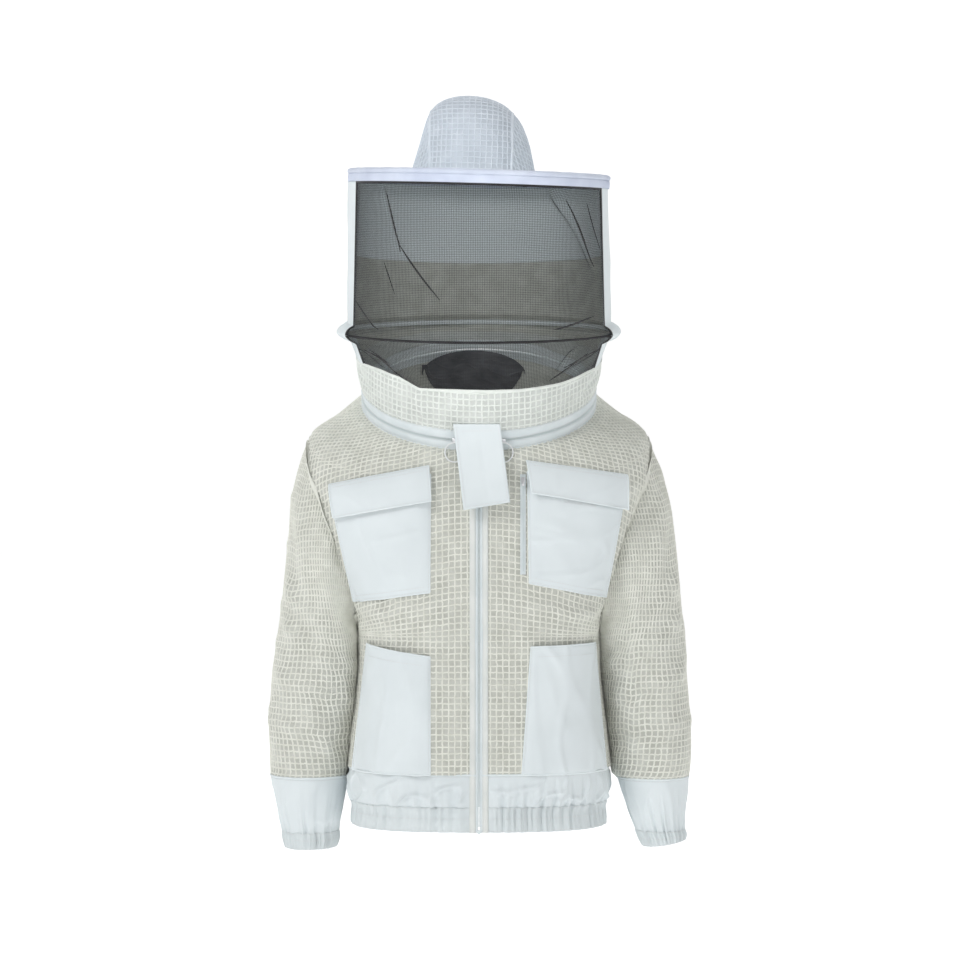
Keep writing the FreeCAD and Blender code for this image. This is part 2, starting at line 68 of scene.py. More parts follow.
def new_material(name, color, roughness=0.9, metallic=0.0, sheen=0.0):
    """Principled material and its nodes, ready for texture nodes."""
    material = bpy.data.materials.new(name)
    material.use_nodes = True
    shader = material.node_tree.nodes["Principled BSDF"]
    shader.inputs["Base Color"].default_value = (*color, 1.0)
    shader.inputs["Roughness"].default_value = roughness
    shader.inputs["Metallic"].default_value = metallic
    shader.inputs["Sheen Weight"].default_value = sheen
    return material


def noise_node(tree, scale, detail):
    """Noise in the piece's own space."""
    where = tree.nodes.new("ShaderNodeTexCoord")
    noise = tree.nodes.new("ShaderNodeTexNoise")
    noise.inputs["Scale"].default_value = scale
    noise.inputs["Detail"].default_value = detail
    tree.links.new(where.outputs["Object"], noise.inputs["Vector"])
    return noise


def add_bump(tree, source, height, strength):
    """Bump of a height in millimetres on the shader, from a node's output."""
    bump = tree.nodes.new("ShaderNodeBump")
    bump.inputs["Distance"].default_value = height * MM
    bump.inputs["Strength"].default_value = strength
    tree.links.new(source, bump.inputs["Height"])
    tree.links.new(bump.outputs["Normal"], tree.nodes["Principled BSDF"].inputs["Normal"])


def mottle(material, dark, light, scale):
    """Uneven colour: a noise that runs between two colours."""
    tree = material.node_tree
    noise = noise_node(tree, scale, 4.0)
    ramp = tree.nodes.new("ShaderNodeValToRGB")
    for element, place, color in zip(ramp.color_ramp.elements, (0.35, 0.65), (dark, light)):
        element.position = place
        element.color = (*color, 1.0)
    tree.links.new(noise.outputs["Fac"], ramp.inputs["Fac"])
    tree.links.new(ramp.outputs["Color"], tree.nodes["Principled BSDF"].inputs["Base Color"])
    return material


# A wave texture's bands are this many of its units apart, divided by its scale.
WAVE_BAND = 0.314


def weave_bump(material, thread, height, strength=0.6):
    """Fine over-and-under weave from two crossed wave textures on the cloth's own map."""
    tree = material.node_tree
    where = tree.nodes.new("ShaderNodeUVMap")
    where.uv_map = "cloth"
    both = tree.nodes.new("ShaderNodeMath")
    both.operation = "ADD"
    for direction, slot in (("X", 0), ("Y", 1)):
        wave = tree.nodes.new("ShaderNodeTexWave")
        wave.bands_direction = direction
        wave.inputs["Scale"].default_value = WAVE_BAND / thread
        wave.inputs["Distortion"].default_value = 0.4
        wave.inputs["Detail"].default_value = 1.0
        tree.links.new(where.outputs["UV"], wave.inputs["Vector"])
        tree.links.new(wave.outputs["Fac"], both.inputs[slot])
    add_bump(tree, both.outputs["Value"], height, strength)
    return material


def fuzz_bump(material, scale, height, strength=0.5):
    """Soft uneven surface of spun yarn or brushed metal."""
    tree = material.node_tree
    add_bump(tree, noise_node(tree, scale, 3.0).outputs["Fac"], height, strength)
    return material


def cloth_material(name, dark, light, thread, height, spread=30.0, sheen=0.15):
    """Woven cloth: slightly uneven colour and a fine weave."""
    material = new_material(name, light, 0.92, sheen=sheen)
    return weave_bump(mottle(material, dark, light, spread), thread, height)


def yarn_material(name, dark, light):
    """Thick spun yarn of the raised mesh."""
    material = new_material(name, light, 0.95, sheen=0.2)
    return fuzz_bump(mottle(material, dark, light, 60.0), 1800.0, 0.25)


MAT = {
    "cotton": cloth_material("white_cotton", (0.735, 0.795, 0.815), (0.77, 0.83, 0.85), 0.55, 0.12, 14.0),
    "facing": cloth_material("zip_facing", (0.72, 0.75, 0.725), (0.79, 0.815, 0.79), 0.5, 0.10),
    # Painted shade: a darker copy of the white cotton for the gathered elastic bands, standing for the shade
    # among the gathers.
    "gathered": cloth_material("gathered_cotton", (0.69, 0.75, 0.765), (0.74, 0.80, 0.815), 0.55, 0.12, 14.0),
    "mesh": cloth_material("mesh_ground", (0.515, 0.525, 0.475), (0.63, 0.645, 0.595), 0.9, 0.30, 45.0),
    "collar": cloth_material("collar_ground", (0.55, 0.58, 0.555), (0.645, 0.675, 0.65), 0.9, 0.30, 45.0),
    "collar_yarn": yarn_material("collar_mesh_yarn", (0.69, 0.725, 0.69), (0.76, 0.795, 0.76)),
    "foam": fuzz_bump(mottle(new_material("brim_foam", (0.7, 0.7, 0.68)), (0.62, 0.62, 0.6),
                             (0.74, 0.74, 0.72), 90.0), 1200.0, 0.4),
    "ring": fuzz_bump(new_material("white_enamel", (0.80, 0.82, 0.83), 0.35), 600.0, 0.05),
    "yarn": yarn_material("mesh_yarn", (0.70, 0.71, 0.645), (0.79, 0.80, 0.735)),
    "hat_mesh": cloth_material("hat_mesh_ground", (0.51, 0.565, 0.63), (0.60, 0.655, 0.725), 0.9, 0.30, 45.0),
    "hat_yarn": yarn_material("hat_mesh_yarn", (0.61, 0.67, 0.74), (0.69, 0.745, 0.81)),
    "net": fuzz_bump(new_material("black_net", (0.03, 0.031, 0.035), 0.6), 2500.0, 0.05),
    "net_edge": cloth_material("net_seam", (0.012, 0.012, 0.013), (0.03, 0.03, 0.033), 0.6, 0.15),
    # Painted shade: near-black cloth for the dim inside of the jacket below the back of the neck.
    "dark": cloth_material("dark_facing", (0.065, 0.068, 0.075), (0.125, 0.13, 0.14), 0.6, 0.15),
    # Partly the tape's own bluish tint, partly painted shade: darkened to the look of the shaded tape under
    # the brim.
    "binding": cloth_material("bluish_binding_painted_shade", (0.53, 0.58, 0.70), (0.64, 0.69, 0.80), 0.6, 0.12, 20.0),
    "tape": cloth_material("zip_tape", (0.70, 0.77, 0.79), (0.77, 0.83, 0.85), 0.7, 0.18),
    "teeth": fuzz_bump(new_material("zip_teeth", (0.72, 0.79, 0.80), 0.42), 900.0, 0.05),
    "thread": fuzz_bump(new_material("sewing_thread", (0.74, 0.765, 0.77), 0.8), 3000.0, 0.1),
    "metal": fuzz_bump(new_material("pull_metal", (0.72, 0.73, 0.75), 0.28, 1.0), 700.0, 0.04),
    "loop": fuzz_bump(new_material("hook_and_loop", (0.74, 0.75, 0.76), 0.98, sheen=0.4), 1400.0, 0.6, 0.9),
}


# ---------------------------------------------------------------- maths on grids of points

def unit(vectors):
    """Vectors scaled to length one."""
    length = np.linalg.norm(vectors, axis=-1, keepdims=True)
    return vectors / np.maximum(length, 1e-9)


def catmull(table, count):
    """Smooth curve through the rows of a table, sampled evenly count times."""
    table = np.asarray(table, float)
    padded = np.vstack([2 * table[0] - table[1], table, 2 * table[-1] - table[-2]])
    place = np.linspace(0, len(table) - 1, count)
    base = np.minimum(place.astype(int), len(table) - 2)
    part = (place - base)[:, None]
    before, start, end, after = (padded[base + step] for step in range(4))
    curve = 2 * start + (end - before) * part
    curve += (2 * before - 5 * start + 4 * end - after) * part ** 2
    curve += (3 * start - before - 3 * end + after) * part ** 3
    return curve / 2


def along_path(points):
    """Distance along a path at each of its points."""
    step = np.linalg.norm(np.diff(points, axis=0), axis=1)
    return np.concatenate([[0], np.cumsum(step)])


def sample(places, along, grid):
    """A path's values at some distances along it."""
    return np.stack([np.interp(places, along, grid[:, axis]) for axis in range(3)], axis=1)


def even_rows(points, count):
    """The same rows of points, each spaced evenly along its own length."""
    result = np.empty((points.shape[0], count, 3))
    for row, line in enumerate(points):
        along = along_path(line)
        result[row] = sample(np.linspace(0, along[-1], count), along, line)
    return result


def waves(points, length, seed, count=7):
    """Smooth random undulation between -1 and 1 over points in space."""
    draw = np.random.default_rng(seed)
    total = np.zeros(points.shape[:-1])
    for _ in range(count):
        direction = unit(draw.normal(size=3)) * (2 * math.pi / (length * draw.uniform(0.7, 1.4)))
        total += np.sin(points @ direction + draw.uniform(0, 2 * math.pi))
    return total / math.sqrt(count)


# How far from zero the undulation still counts as a crease.
CREASE_WIDTH = 0.28


def creases(points, length, seed, stretch=(1, 1, 1)):
    """Wrinkles: sharp rounded ridges where a random undulation crosses zero."""
    value = waves(points * np.asarray(stretch, float), length, seed)
    return np.exp(-(value / CREASE_WIDTH) ** 2)


class Patch:
    """A piece of cloth as a grid of points: rows run down it and columns run across it."""

    def __init__(self, points, facing=1.0):
        self.points = np.asarray(points, float)
        self.facing = facing
        self.measure()

    def measure(self):
        """Works out the normals and the distances along rows and columns."""
        points = self.points
        down = np.gradient(points, axis=0)
        across = np.gradient(points, axis=1)
        self.normals = unit(np.cross(down, across)) * self.facing
        row_steps = np.linalg.norm(np.diff(points, axis=1), axis=2)
        column_steps = np.linalg.norm(np.diff(points, axis=0), axis=2)
        self.across = np.pad(np.cumsum(row_steps, axis=1), ((0, 0), (1, 0)))
        self.down = np.pad(np.cumsum(column_steps, axis=0), ((1, 0), (0, 0)))

    def press(self, amount):
        """Moves every point along its normal."""
        self.points = self.points + self.normals * amount[..., None]
        self.measure()
        return self

    def at(self, row, column, lift=0.0):
        """Points and normals at fractional rows and columns, lifted off the cloth."""
        rows, columns = self.points.shape[:2]
        row = np.clip(row, 0, rows - 1.001)
        column = np.clip(column, 0, columns - 1.001)
        r0, c0 = row.astype(int), column.astype(int)
        fr, fc = (row - r0)[..., None], (column - c0)[..., None]

        def mix(grid):
            top = grid[r0, c0] * (1 - fc) + grid[r0, c0 + 1] * fc
            low = grid[r0 + 1, c0] * (1 - fc) + grid[r0 + 1, c0 + 1] * fc
            return top * (1 - fr) + low * fr

        normals = unit(mix(self.normals))
        return mix(self.points) + normals * lift, normals


# ---------------------------------------------------------------- making meshes

def add_object(name, mesh, material, smooth=True):
    """Blender object of a mesh, with its material."""
    mesh.polygons.foreach_set("use_smooth", [smooth] * len(mesh.polygons))
    mesh.materials.append(MAT[material])
    piece = bpy.data.objects.new(name, mesh)
    bpy.context.scene.collection.objects.link(piece)
    return piece


def make_mesh(name, points, faces, material, cloth=None, smooth=True):
    """Blender object from points in millimetres, with an optional map in millimetres of cloth."""
    mesh = bpy.data.meshes.new(name)
    mesh.from_pydata((np.asarray(points) * MM).tolist(), [], np.asarray(faces).tolist())
    if cloth is not None:
        corners = np.empty(len(mesh.loops), int)
        mesh.loops.foreach_get("vertex_index", corners)
        layer = mesh.uv_layers.new(name="cloth")
        layer.data.foreach_set("uv", np.asarray(cloth)[corners].ravel())
    mesh.update()
    return add_object(name, mesh, material, smooth)


def bevelled(name, work, edge, segments, material, move=(0, 0, 0)):
    """Blender object from a bmesh in metres, its edges rounded, moved by millimetres."""
    bmesh.ops.bevel(work, geom=work.edges[:], offset=edge * MM, segments=segments,
                    affect="EDGES", profile=0.5)
    for corner in work.verts:
        corner.co += Vector(move) * MM
    mesh = bpy.data.meshes.new(name)
    work.to_mesh(mesh)
    work.free()
    return add_object(name, mesh, material)


def grid_faces(rows, columns, start=0, flip=False):
    """Quads of a grid of points numbered row by row."""
    corner = start + (np.arange(rows - 1)[:, None] * columns + np.arange(columns - 1)).ravel()
    faces = np.stack([corner, corner + 1, corner + columns + 1, corner + columns], axis=1)
    return faces[:, ::-1] if flip else faces


def sheet_piece(name, patch, thick, material):
    """Closed piece of cloth: the patch is its face, its back lies thick behind, its rim is closed."""
    rows, columns = patch.points.shape[:2]
    count = rows * columns
    front = patch.points.reshape(-1, 3)
    back = (patch.points - patch.normals * thick).reshape(-1, 3)
    flip = patch.facing > 0
    faces = [grid_faces(rows, columns, 0, not flip), grid_faces(rows, columns, count, flip)]
    top = np.arange(columns)
    low = top + (rows - 1) * columns
    left = np.arange(rows) * columns
    right = left + columns - 1
    for edge, turned in ((top, flip), (low, not flip), (left, not flip), (right, flip)):
        strip = np.stack([edge[:-1], edge[1:], edge[1:] + count, edge[:-1] + count], axis=1)
        faces.append(strip[:, ::-1] if turned else strip)
    cloth = np.stack([patch.across, patch.down], axis=-1).reshape(-1, 2)
    points = np.vstack([front, back])
    return make_mesh(name, points, np.vstack(faces), material, np.vstack([cloth, cloth]))


# A raised strip's foot lies this far in the cloth; its shoulders are at these shares of its
# half width and its height.
STRIP_FOOT = 0.25
SHOULDER_OUT = 0.62
SHOULDER_UP = 0.75


def strips(points, normals, valid, width, height):
    """Raised strips: points is [along, strip, 3]; each strip is a low roof width wide and height high."""
    tangent = np.gradient(points, axis=0)
    side = unit(np.cross(normals, tangent)) * (width / 2)
    foot = points - normals * STRIP_FOOT
    shoulder = points + normals * height * SHOULDER_UP
    profile = np.stack([foot - side, shoulder - side * SHOULDER_OUT, points + normals * height,
                        shoulder + side * SHOULDER_OUT, foot + side], axis=2)
    along, count, wide = profile.shape[:3]
    index = np.arange(along * count * wide).reshape(along, count, wide)
    here, after = index[:-1], index[1:]
    both = valid[:-1] & valid[1:]
    quads = np.stack([here[:, :, :-1], here[:, :, 1:], after[:, :, 1:], after[:, :, :-1]], axis=-1)
    return profile.reshape(-1, 3), quads[both].reshape(-1, 4)


def compact(points, faces):
    """Drops the points that no face uses."""
    used = np.unique(faces)
    number = np.full(len(points), -1)
    number[used] = np.arange(len(used))
    return points[used], number[faces]


def join_parts(parts):
    """Several (points, faces) made into one."""
    points, faces, start = [], [], 0
    for part_points, part_faces in parts:
        points.append(part_points)
        faces.append(np.asarray(part_faces) + start)
        start += len(part_points)
    return np.vstack(points), np.vstack(faces)


# The raised mesh: yarns this far apart, this wide and this high.
PITCH = 8.7
YARN_WIDE = 2.6
YARN_HIGH = 1.0
# The yarns that run across are a little lower than the ones that run down.
CROSS_SHARE = 0.9


def crossing_lines(distance, run, pitch, step, margin, wander):
    """Lines pitch apart on a grid of distances: row and column of their points, and which are on it."""
    rows, columns = distance.shape
    fine = np.linspace(0, rows - 1, int(run / step))
    number = np.arange(math.floor(distance.min() / pitch), math.ceil(distance.max() / pitch))
    wanted = (number + 0.5) * pitch
    wobble = rng.normal(0, wander, (len(fine), len(wanted)))
    column = np.empty(wobble.shape)
    valid = np.empty(wobble.shape, bool)
    for place, row in enumerate(fine):
        low = min(int(row), rows - 2)
        part = row - low
        scale = distance[low] * (1 - part) + distance[low + 1] * part
        column[place] = np.interp(wanted + wobble[place], scale, np.arange(columns))
        valid[place] = (wanted > scale[0] + margin) & (wanted < scale[-1] - margin)
    return np.repeat(fine[:, None], len(wanted), axis=1), column, valid


def yarn_grid(name, patch, material="yarn", base_row=-1, base_column=0, margin=1.0,
              pitch=PITCH, wide=YARN_WIDE, high=YARN_HIGH, step=PITCH / 3, wander=0.3, make=strips):
    """A lattice of raised yarns, or of net threads, trimmed to the patch's edges."""
    height = patch.down - patch.down[base_row]
    width = patch.across - patch.across[:, base_column][:, None]
    row, column, valid = crossing_lines(width, patch.down.max(), pitch, step, margin, wander)
    parts = [make(*patch.at(row, column), valid, wide, high)]
    column, row, valid = crossing_lines(height.T, patch.across.max(), pitch, step, margin, wander)
    parts.append(make(*patch.at(row, column), valid, wide, high * CROSS_SHARE))
    return make_mesh(name, *compact(*join_parts(parts)), material)


def path_strip(name, points, normals, width, height, material):
    """One raised strip along a path on the cloth, such as a seam or a folded edge."""
    valid = np.ones((len(points), 1), bool)
    made = strips(points[:, None], normals[:, None], valid, width, height)
    return make_mesh(name, *compact(*made), material)


# Faces of a box whose corners go round its low face and then round its high face.
BOX_FACES = np.array([[3, 2, 1, 0], [4, 5, 6, 7], [0, 1, 5, 4], [1, 2, 6, 5], [2, 3, 7, 6], [3, 0, 4, 7]])


def boxes(corners):
    """Points and faces of many boxes, from eight lists of their corners."""
    points = np.stack(corners, axis=1)
    faces = (np.arange(len(points)) * 8)[:, None, None] + BOX_FACES
    return points.reshape(-1, 3), faces.reshape(-1, 4)


# Length of a stitch and of the gap after it, its width and height, and how far its foot is sunk.
STITCH_LONG = 2.6
STITCH_GAP = 1.3
STITCH_WIDE = 0.55
STITCH_HIGH = 0.45
STITCH_SUNK = 0.15


def stitch_boxes(points, normals):
    """Row of raised stitches along a path: one small closed box for each stitch."""
    along = along_path(points)
    starts = np.arange(STITCH_GAP, along[-1] - STITCH_LONG, STITCH_LONG + STITCH_GAP)
    if not len(starts):
        return np.zeros((0, 3)), np.zeros((0, 4), int)
    first = sample(starts, along, points)
    last = sample(starts + STITCH_LONG, along, points)
    normal = unit(sample(starts + STITCH_LONG / 2, along, normals))
    side = unit(np.cross(normal, last - first)) * STITCH_WIDE / 2
    ring = (last - side, last + side, first + side, first - side)
    levels = (-STITCH_SUNK * normal, STITCH_HIGH * normal)
    return boxes([corner + level for level in levels for corner in ring])


def stitch_piece(name, paths):
    """All the stitches of a part: paths is a list of (points, normals)."""
    parts = [stitch_boxes(points, normals) for points, normals in paths]
    return make_mesh(name, *join_parts(parts), "thread", smooth=False)


def line_on(patch, start, end, count, lift=0.0):
    """Points and normals of a line across a patch, its ends given as fractions (row, column)."""
    rows, columns = patch.points.shape[:2]
    row = np.linspace(start[0], end[0], count) * (rows - 1)
    column = np.linspace(start[1], end[1], count) * (columns - 1)
    return patch.at(row, column, lift)


def outline_on(patch, inset_mm, lift, edges=("top", "low", "left", "right")):
    """Lines parallel to a patch's edges, inset_mm inside them."""
    rows, columns = patch.points.shape[:2]
    in_row = inset_mm / patch.down[-1].mean()
    in_column = inset_mm / patch.across[:, -1].mean()
    ends = {
        "top": ((in_row, in_column), (in_row, 1 - in_column)),
        "low": ((1 - in_row, in_column), (1 - in_row, 1 - in_column)),
        "left": ((in_row, in_column), (1 - in_row, in_column)),
        "right": ((in_row, 1 - in_column), (1 - in_row, 1 - in_column)),
    }
    return [line_on(patch, *ends[edge], count=rows + columns, lift=lift) for edge in edges]


# A sheet's declared area is at least this share of its flat width times its length.
LEAST_AREA = 0.31


def declare(patch, turned_in=0.0):
    """Works out the flat width, length and area of a sheet cut to the patch's own mean width and length;
    nothing is done with them.
    """
    wide = (float(patch.across[:, -1].mean()) + turned_in) * MM
    long = float(patch.down[-1].mean()) * MM
    p = patch.points * MM
    corner = np.cross(p[1:, :-1] - p[:-1, :-1], p[:-1, 1:] - p[:-1, :-1])
    area = float(np.linalg.norm(corner, axis=-1).sum()) + turned_in * MM * long
    area = min(max(area, LEAST_AREA * wide * long), wide * long)


def settle(body, slot, *pieces, node=None):
    """Puts pieces on a body and hides the CAD node, if one is given, that the first one stands for; slot is
    not used.
    """
    if node:
        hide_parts(node)
    for piece in pieces:
        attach(piece, body)


def tube(name, path, radius, material, sides, closed=True):
    """Round bar along a path in millimetres; radius may vary along it."""
    path = np.asarray(path, float)
    if closed:
        tangent = unit(np.roll(path, -1, axis=0) - np.roll(path, 1, axis=0))
    else:
        tangent = unit(np.gradient(path, axis=0))
    up = np.array([0.0, 0.0, 1.0])
    if abs(tangent[:, 2]).max() > 0.95:
        up = np.array([0.0, 1.0, 0.0])
    side = unit(np.cross(tangent, up))
    other = np.cross(side, tangent)
    angle = np.linspace(0, 2 * math.pi, sides, endpoint=False)
    radius = np.broadcast_to(np.asarray(radius, float), (len(path),))[:, None, None]
    ring = side[:, None] * np.cos(angle)[:, None] + other[:, None] * np.sin(angle)[:, None]
    points = path[:, None] + ring * radius
    index = np.arange(len(path) * sides).reshape(len(path), sides)
    index = np.concatenate([index, index[:, :1]], axis=1)
    if closed:
        index = np.concatenate([index, index[:1]], axis=0)
    faces = np.stack([index[:-1, :-1], index[:-1, 1:], index[1:, 1:], index[1:, :-1]], axis=-1).reshape(-1, 4)
    cloth = np.stack(np.meshgrid(np.arange(sides) * 1.0, np.arange(len(path)) * 3.0), axis=-1).reshape(-1, 2)
    return make_mesh(name, points.reshape(-1, 3), faces, material, cloth)


# ---------------------------------------------------------------- jacket body

NECK_RADIUS = 168.0
NECK_TILT = math.radians(25)
# How far in front of the origin the straight front of the jacket lies.
FRONT_LINE = 155.0
# The front zip's opening, its teeth, and the outer edge of the facings, from the middle.
ZIP_HALF = 4.75
TEETH_HALF = 1.6
FACING_EDGE = 11.75


def neck_point(angle, radius, height):
    """Point on the neck ring's own axes: angle from the front towards the wearer's left."""
    angle, radius, height = np.broadcast_arrays(angle, radius, height)
    x, y = radius * np.sin(angle), -radius * np.cos(angle)
    cos, sin = math.cos(NECK_TILT), math.sin(NECK_TILT)
    return np.stack([x, y * cos - height * sin, y * sin + height * cos], axis=-1)


# Level, lean in degrees, half width, half depth, squareness in front, squareness behind.
BODY = (
    (-12.7, 25, 168, 168, 2.0, 2.0),
    (-21, 24.5, 183, 166.5, 2.05, 2.0),
    (-36, 23.5, 208, 165.5, 2.15, 2.0),
    (-58, 22, 241, 165, 2.3, 2.05),
    (-101, 18, 250, 162, 2.5, 2.1),
    (-141, 15, 238, 160, 2.6, 2.15),
    (-181, 12, 227, 158, 2.7, 2.2),
    (-242, 7, 206, 156, 2.8, 2.2),
    (-290, 3, 188, 155, 2.8, 2.2),
    (-333, 0, 176, 155, 2.8, 2.2),
    (-380, 0, 173, 155, 2.8, 2.2),
    (-430, 0, 175, 155, 2.8, 2.2),
    (-485, 0, 181, 155, 2.8, 2.2),
    (-538, 0, 187, 155, 2.8, 2.2),
)
BODY_ROWS = 200
BODY_FINE = catmull(BODY, BODY_ROWS)
NECK_LEVEL = BODY[0][0]
# Above this level a section moves forward or back by up to this much, to meet the neck ring.
YOKE_LEVEL = -20.0
YOKE_SHIFT = 5.9


def back_rise(level):
    """How much of a section's lean its back half keeps: all of it at the neck, less below."""
    return np.interp(level, (-101, -58, -36, -21, -12.7), (0.3, 0.35, 0.6, 0.85, 1.0))


def section_points(row, angle):
    """Points of one body section; angle 0 is the wearer's left side, 90 degrees the front."""
    level, lean, wide, deep, front_power, back_power = row
    across, along = np.cos(angle), np.sin(angle)
    power = np.where(along > 0, front_power, back_power)
    x = wide * np.sign(across) * np.abs(across) ** (2 / power)
    y = -deep * np.sign(along) * np.abs(along) ** (2 / power)
    lean = math.radians(lean)
    middle = deep * math.cos(lean) - FRONT_LINE
    if level > YOKE_LEVEL:
        share = (level - YOKE_LEVEL) / (NECK_LEVEL - YOKE_LEVEL)
        middle = YOKE_SHIFT * share + middle * (1 - share)
    rise = math.sin(lean) * np.where(along > 0, 1.0, back_rise(level))
    return np.stack([x, middle + y * math.cos(lean), level + y * rise], axis=-1)


# The armhole seam: its highest and lowest level, their middle, and its reach forward and back.
ARM_TOP, ARM_LOW = -66.0, -346.0
ARM_MIDDLE, ARM_HALF = (ARM_TOP + ARM_LOW) / 2, (ARM_TOP - ARM_LOW) / 2
ARM_REACH = 84.0


def arm_loop_y(level):
    """How far in front of or behind the shoulder line the armhole seam runs, at a level."""
    share = np.clip(1 - ((level - ARM_MIDDLE) / ARM_HALF) ** 2, 0, 1)
    return ARM_REACH * share ** 0.35


def section_angle(reach, half, power):
    """Angle at which a section of that half size and squareness comes out that far."""
    return math.asin(min(1.0, (reach / half) ** (power / 2)))


def side_angle(row):
    """Where a section's front or back panel ends: at the armhole seam or at the side."""
    level, _, _, deep, front_power, back_power = row
    reach = arm_loop_y(level)
    return section_angle(reach, deep, front_power), section_angle(reach, deep, back_power)


def body_panel(which, columns=130):
    """Grid of one panel of the jacket above the hem panel: left or right front, or the back."""
    lines = np.empty((BODY_ROWS, 160, 3))
    for number, row in enumerate(BODY_FINE):
        front, back = side_angle(row)
        if which == "back":
            angle = np.linspace(-back, -math.pi + back, 160)
        else:
            start = math.pi / 2 - section_angle(FACING_EDGE, row[2], row[4])
            angle = np.linspace(start, front, 160)
        line = section_points(row, angle)
        lines[number] = mirror(line, which) if which == "right" else line
    return even_rows(lines, columns)


def body_row_at(level):
    """The body section at a level, between the rows of the fine table."""
    levels = -BODY_FINE[:, 0]
    return [np.interp(-level, levels, BODY_FINE[:, column]) for column in range(6)]


# How suddenly a fold ends.
FOLD_END = 6 / 0.35


def fold(points, start, end, width, height):
    """Height over the cloth of one long soft fold between two places in space."""
    start, end = np.asarray(start, float), np.asarray(end, float)
    run = end - start
    length = np.linalg.norm(run)
    run = run / length
    along = (points - start) @ run
    away = np.linalg.norm(points - start - along[..., None] * run, axis=-1)
    share = np.clip(along / length, -0.5, 1.5)
    ends = 1 / (1 + np.exp(-(share + 0.02) * FOLD_END))
    ends = ends / (1 + np.exp((share - 1.02) * FOLD_END))
    return height * np.exp(-(away / width) ** 2) * ends


def folds(points, rows, sign=1.0):
    """Height of several folds: start, end, width and height, with x times sign."""
    turn = np.array([sign, 1, 1])
    return sum(fold(points, turn * start, turn * end, width, high) for start, end, width, high in rows)


def crumple(points, seed, soft, sharp):
    """General unevenness of hanging cloth: a wide undulation and a few finer wrinkles."""
    wide = waves(points * (1, 1, 0.55), 150.0, seed) * soft
    fine = creases(points, 120.0, seed + 1, (1, 1, 0.7)) * sharp
    return wide + fine


# Folds of the body's left half, mirrored on the right: start, end, width and height.
BODY_FOLDS = (
    ((172, -95, -322), (70, -155, -300), 11, 6), ((172, -70, -338), (60, -150, -352), 9, 5),
    ((178, -70, -300), (120, -140, -318), 9, 5), ((215, -80, -60), (120, -140, -40), 20, 3),
    ((160, 60, -330), (40, 150, -290), 20, 4), ((165, 50, -390), (60, 150, -400), 16, 3.5),
)
# Share of a panel's width over which its folds fade out at a seam.
SEAM_FADE = 0.06


def body_press(patch, seed, seam_at_start):
    """Folds of the jacket body, faded out at the neck, the zip and the panel's seams."""
    points = patch.points
    amount = crumple(points, seed, 1.8, 1.0) + folds(points, BODY_FOLDS) + folds(points, BODY_FOLDS, -1)
    edge = np.clip((-14 - points[..., 2]) / 30, 0, 1)
    top = np.clip((np.linalg.norm(points, axis=-1) - NECK_RADIUS - 4) / 40, 0, 1)
    middle = np.clip((np.abs(points[..., 0]) - 14) / 30, 0, 1)
    columns = np.linspace(0, 1, points.shape[1])[None]
    start = columns if seam_at_start else columns + SEAM_FADE
    seam = np.clip(np.minimum(1 - columns, start) / SEAM_FADE, 0, 1)
    zip_side = np.where(points[..., 1] < 0, middle, 1.0)
    return patch.press(amount * top * seam * zip_side * np.maximum(edge, 0.3))


# Sleeve rows from the shoulder to the cuff: outer line x, z, inner line x, z, half depth.
SLEEVE_ROWS = {
    "left": (
        (250, -66, 172, -346, 84), (266, -104, 170, -356, 82), (276, -150, 171, -366, 81),
        (283, -200, 172.5, -378, 80), (289, -250, 175, -392, 79), (294, -300, 178, -408, 78),
        (299, -350, 181.5, -430, 77), (302, -400, 185, -455, 75), (305, -445, 188.5, -480, 72),
        (307, -491, 192, -508, 69), (306, -525, 196, -535, 66), (303, -554, 199.5, -554, 62),
    ),
    "right": (
        (250, -66, 172, -346, 84), (267, -104, 169, -356, 82), (271, -150, 166, -368, 81),
        (272, -200, 164, -382, 80), (276, -250, 163, -398, 79), (281, -300, 165, -415, 78),
        (288, -350, 168, -435, 77), (296, -400, 172, -458, 75), (300, -445, 176, -482, 72),
        (303, -491, 179.5, -506, 69), (302, -525, 184.5, -532, 66), (301, -552, 189, -552, 62),
    ),
}
CUFF_ROWS = {
    "left": ((303, -554, 199.5, -554, 62), (301, -580, 208, -580, 57), (298, -607, 219, -607, 51),
             (297, -630, 228, -630, 45)),
    "right": ((301, -552, 189, -552, 62), (296, -581, 194, -581, 58), (288, -612, 201, -612, 52),
              (283, -632, 205.5, -632, 47)),
}
WRIST_ROWS = {
    "left": ((297, -630, 228, -630, 45), (298, -638, 233, -642, 42), (299, -645, 237, -655, 42)),
    "right": ((283, -632, 205.5, -632, 47), (281, -643, 206, -643, 43), (280, -657, 207, -656, 43)),
}
# The sleeves' middle along Y, a little in front of the shoulder line.
SLEEVE_FORWARD = -6.0


def arm_loop(angle):
    """The armhole seam on the jacket body; angle 0 is its top and positive angles are in front."""
    points = []
    for turn in angle:
        row = body_row_at(ARM_MIDDLE + ARM_HALF * math.cos(turn))
        front = turn >= 0
        reach = min(arm_loop_y(row[0]), row[3])
        place = section_angle(reach, row[3], row[4] if front else row[5])
        points.append(section_points(row, np.array(place if front else -place)))
    return np.array(points)


# The sleeve keeps clear of the body below the first level, by the shape it has below the second.
UNDERARM = -120.0
SHOULDER_LEVEL = -60.0


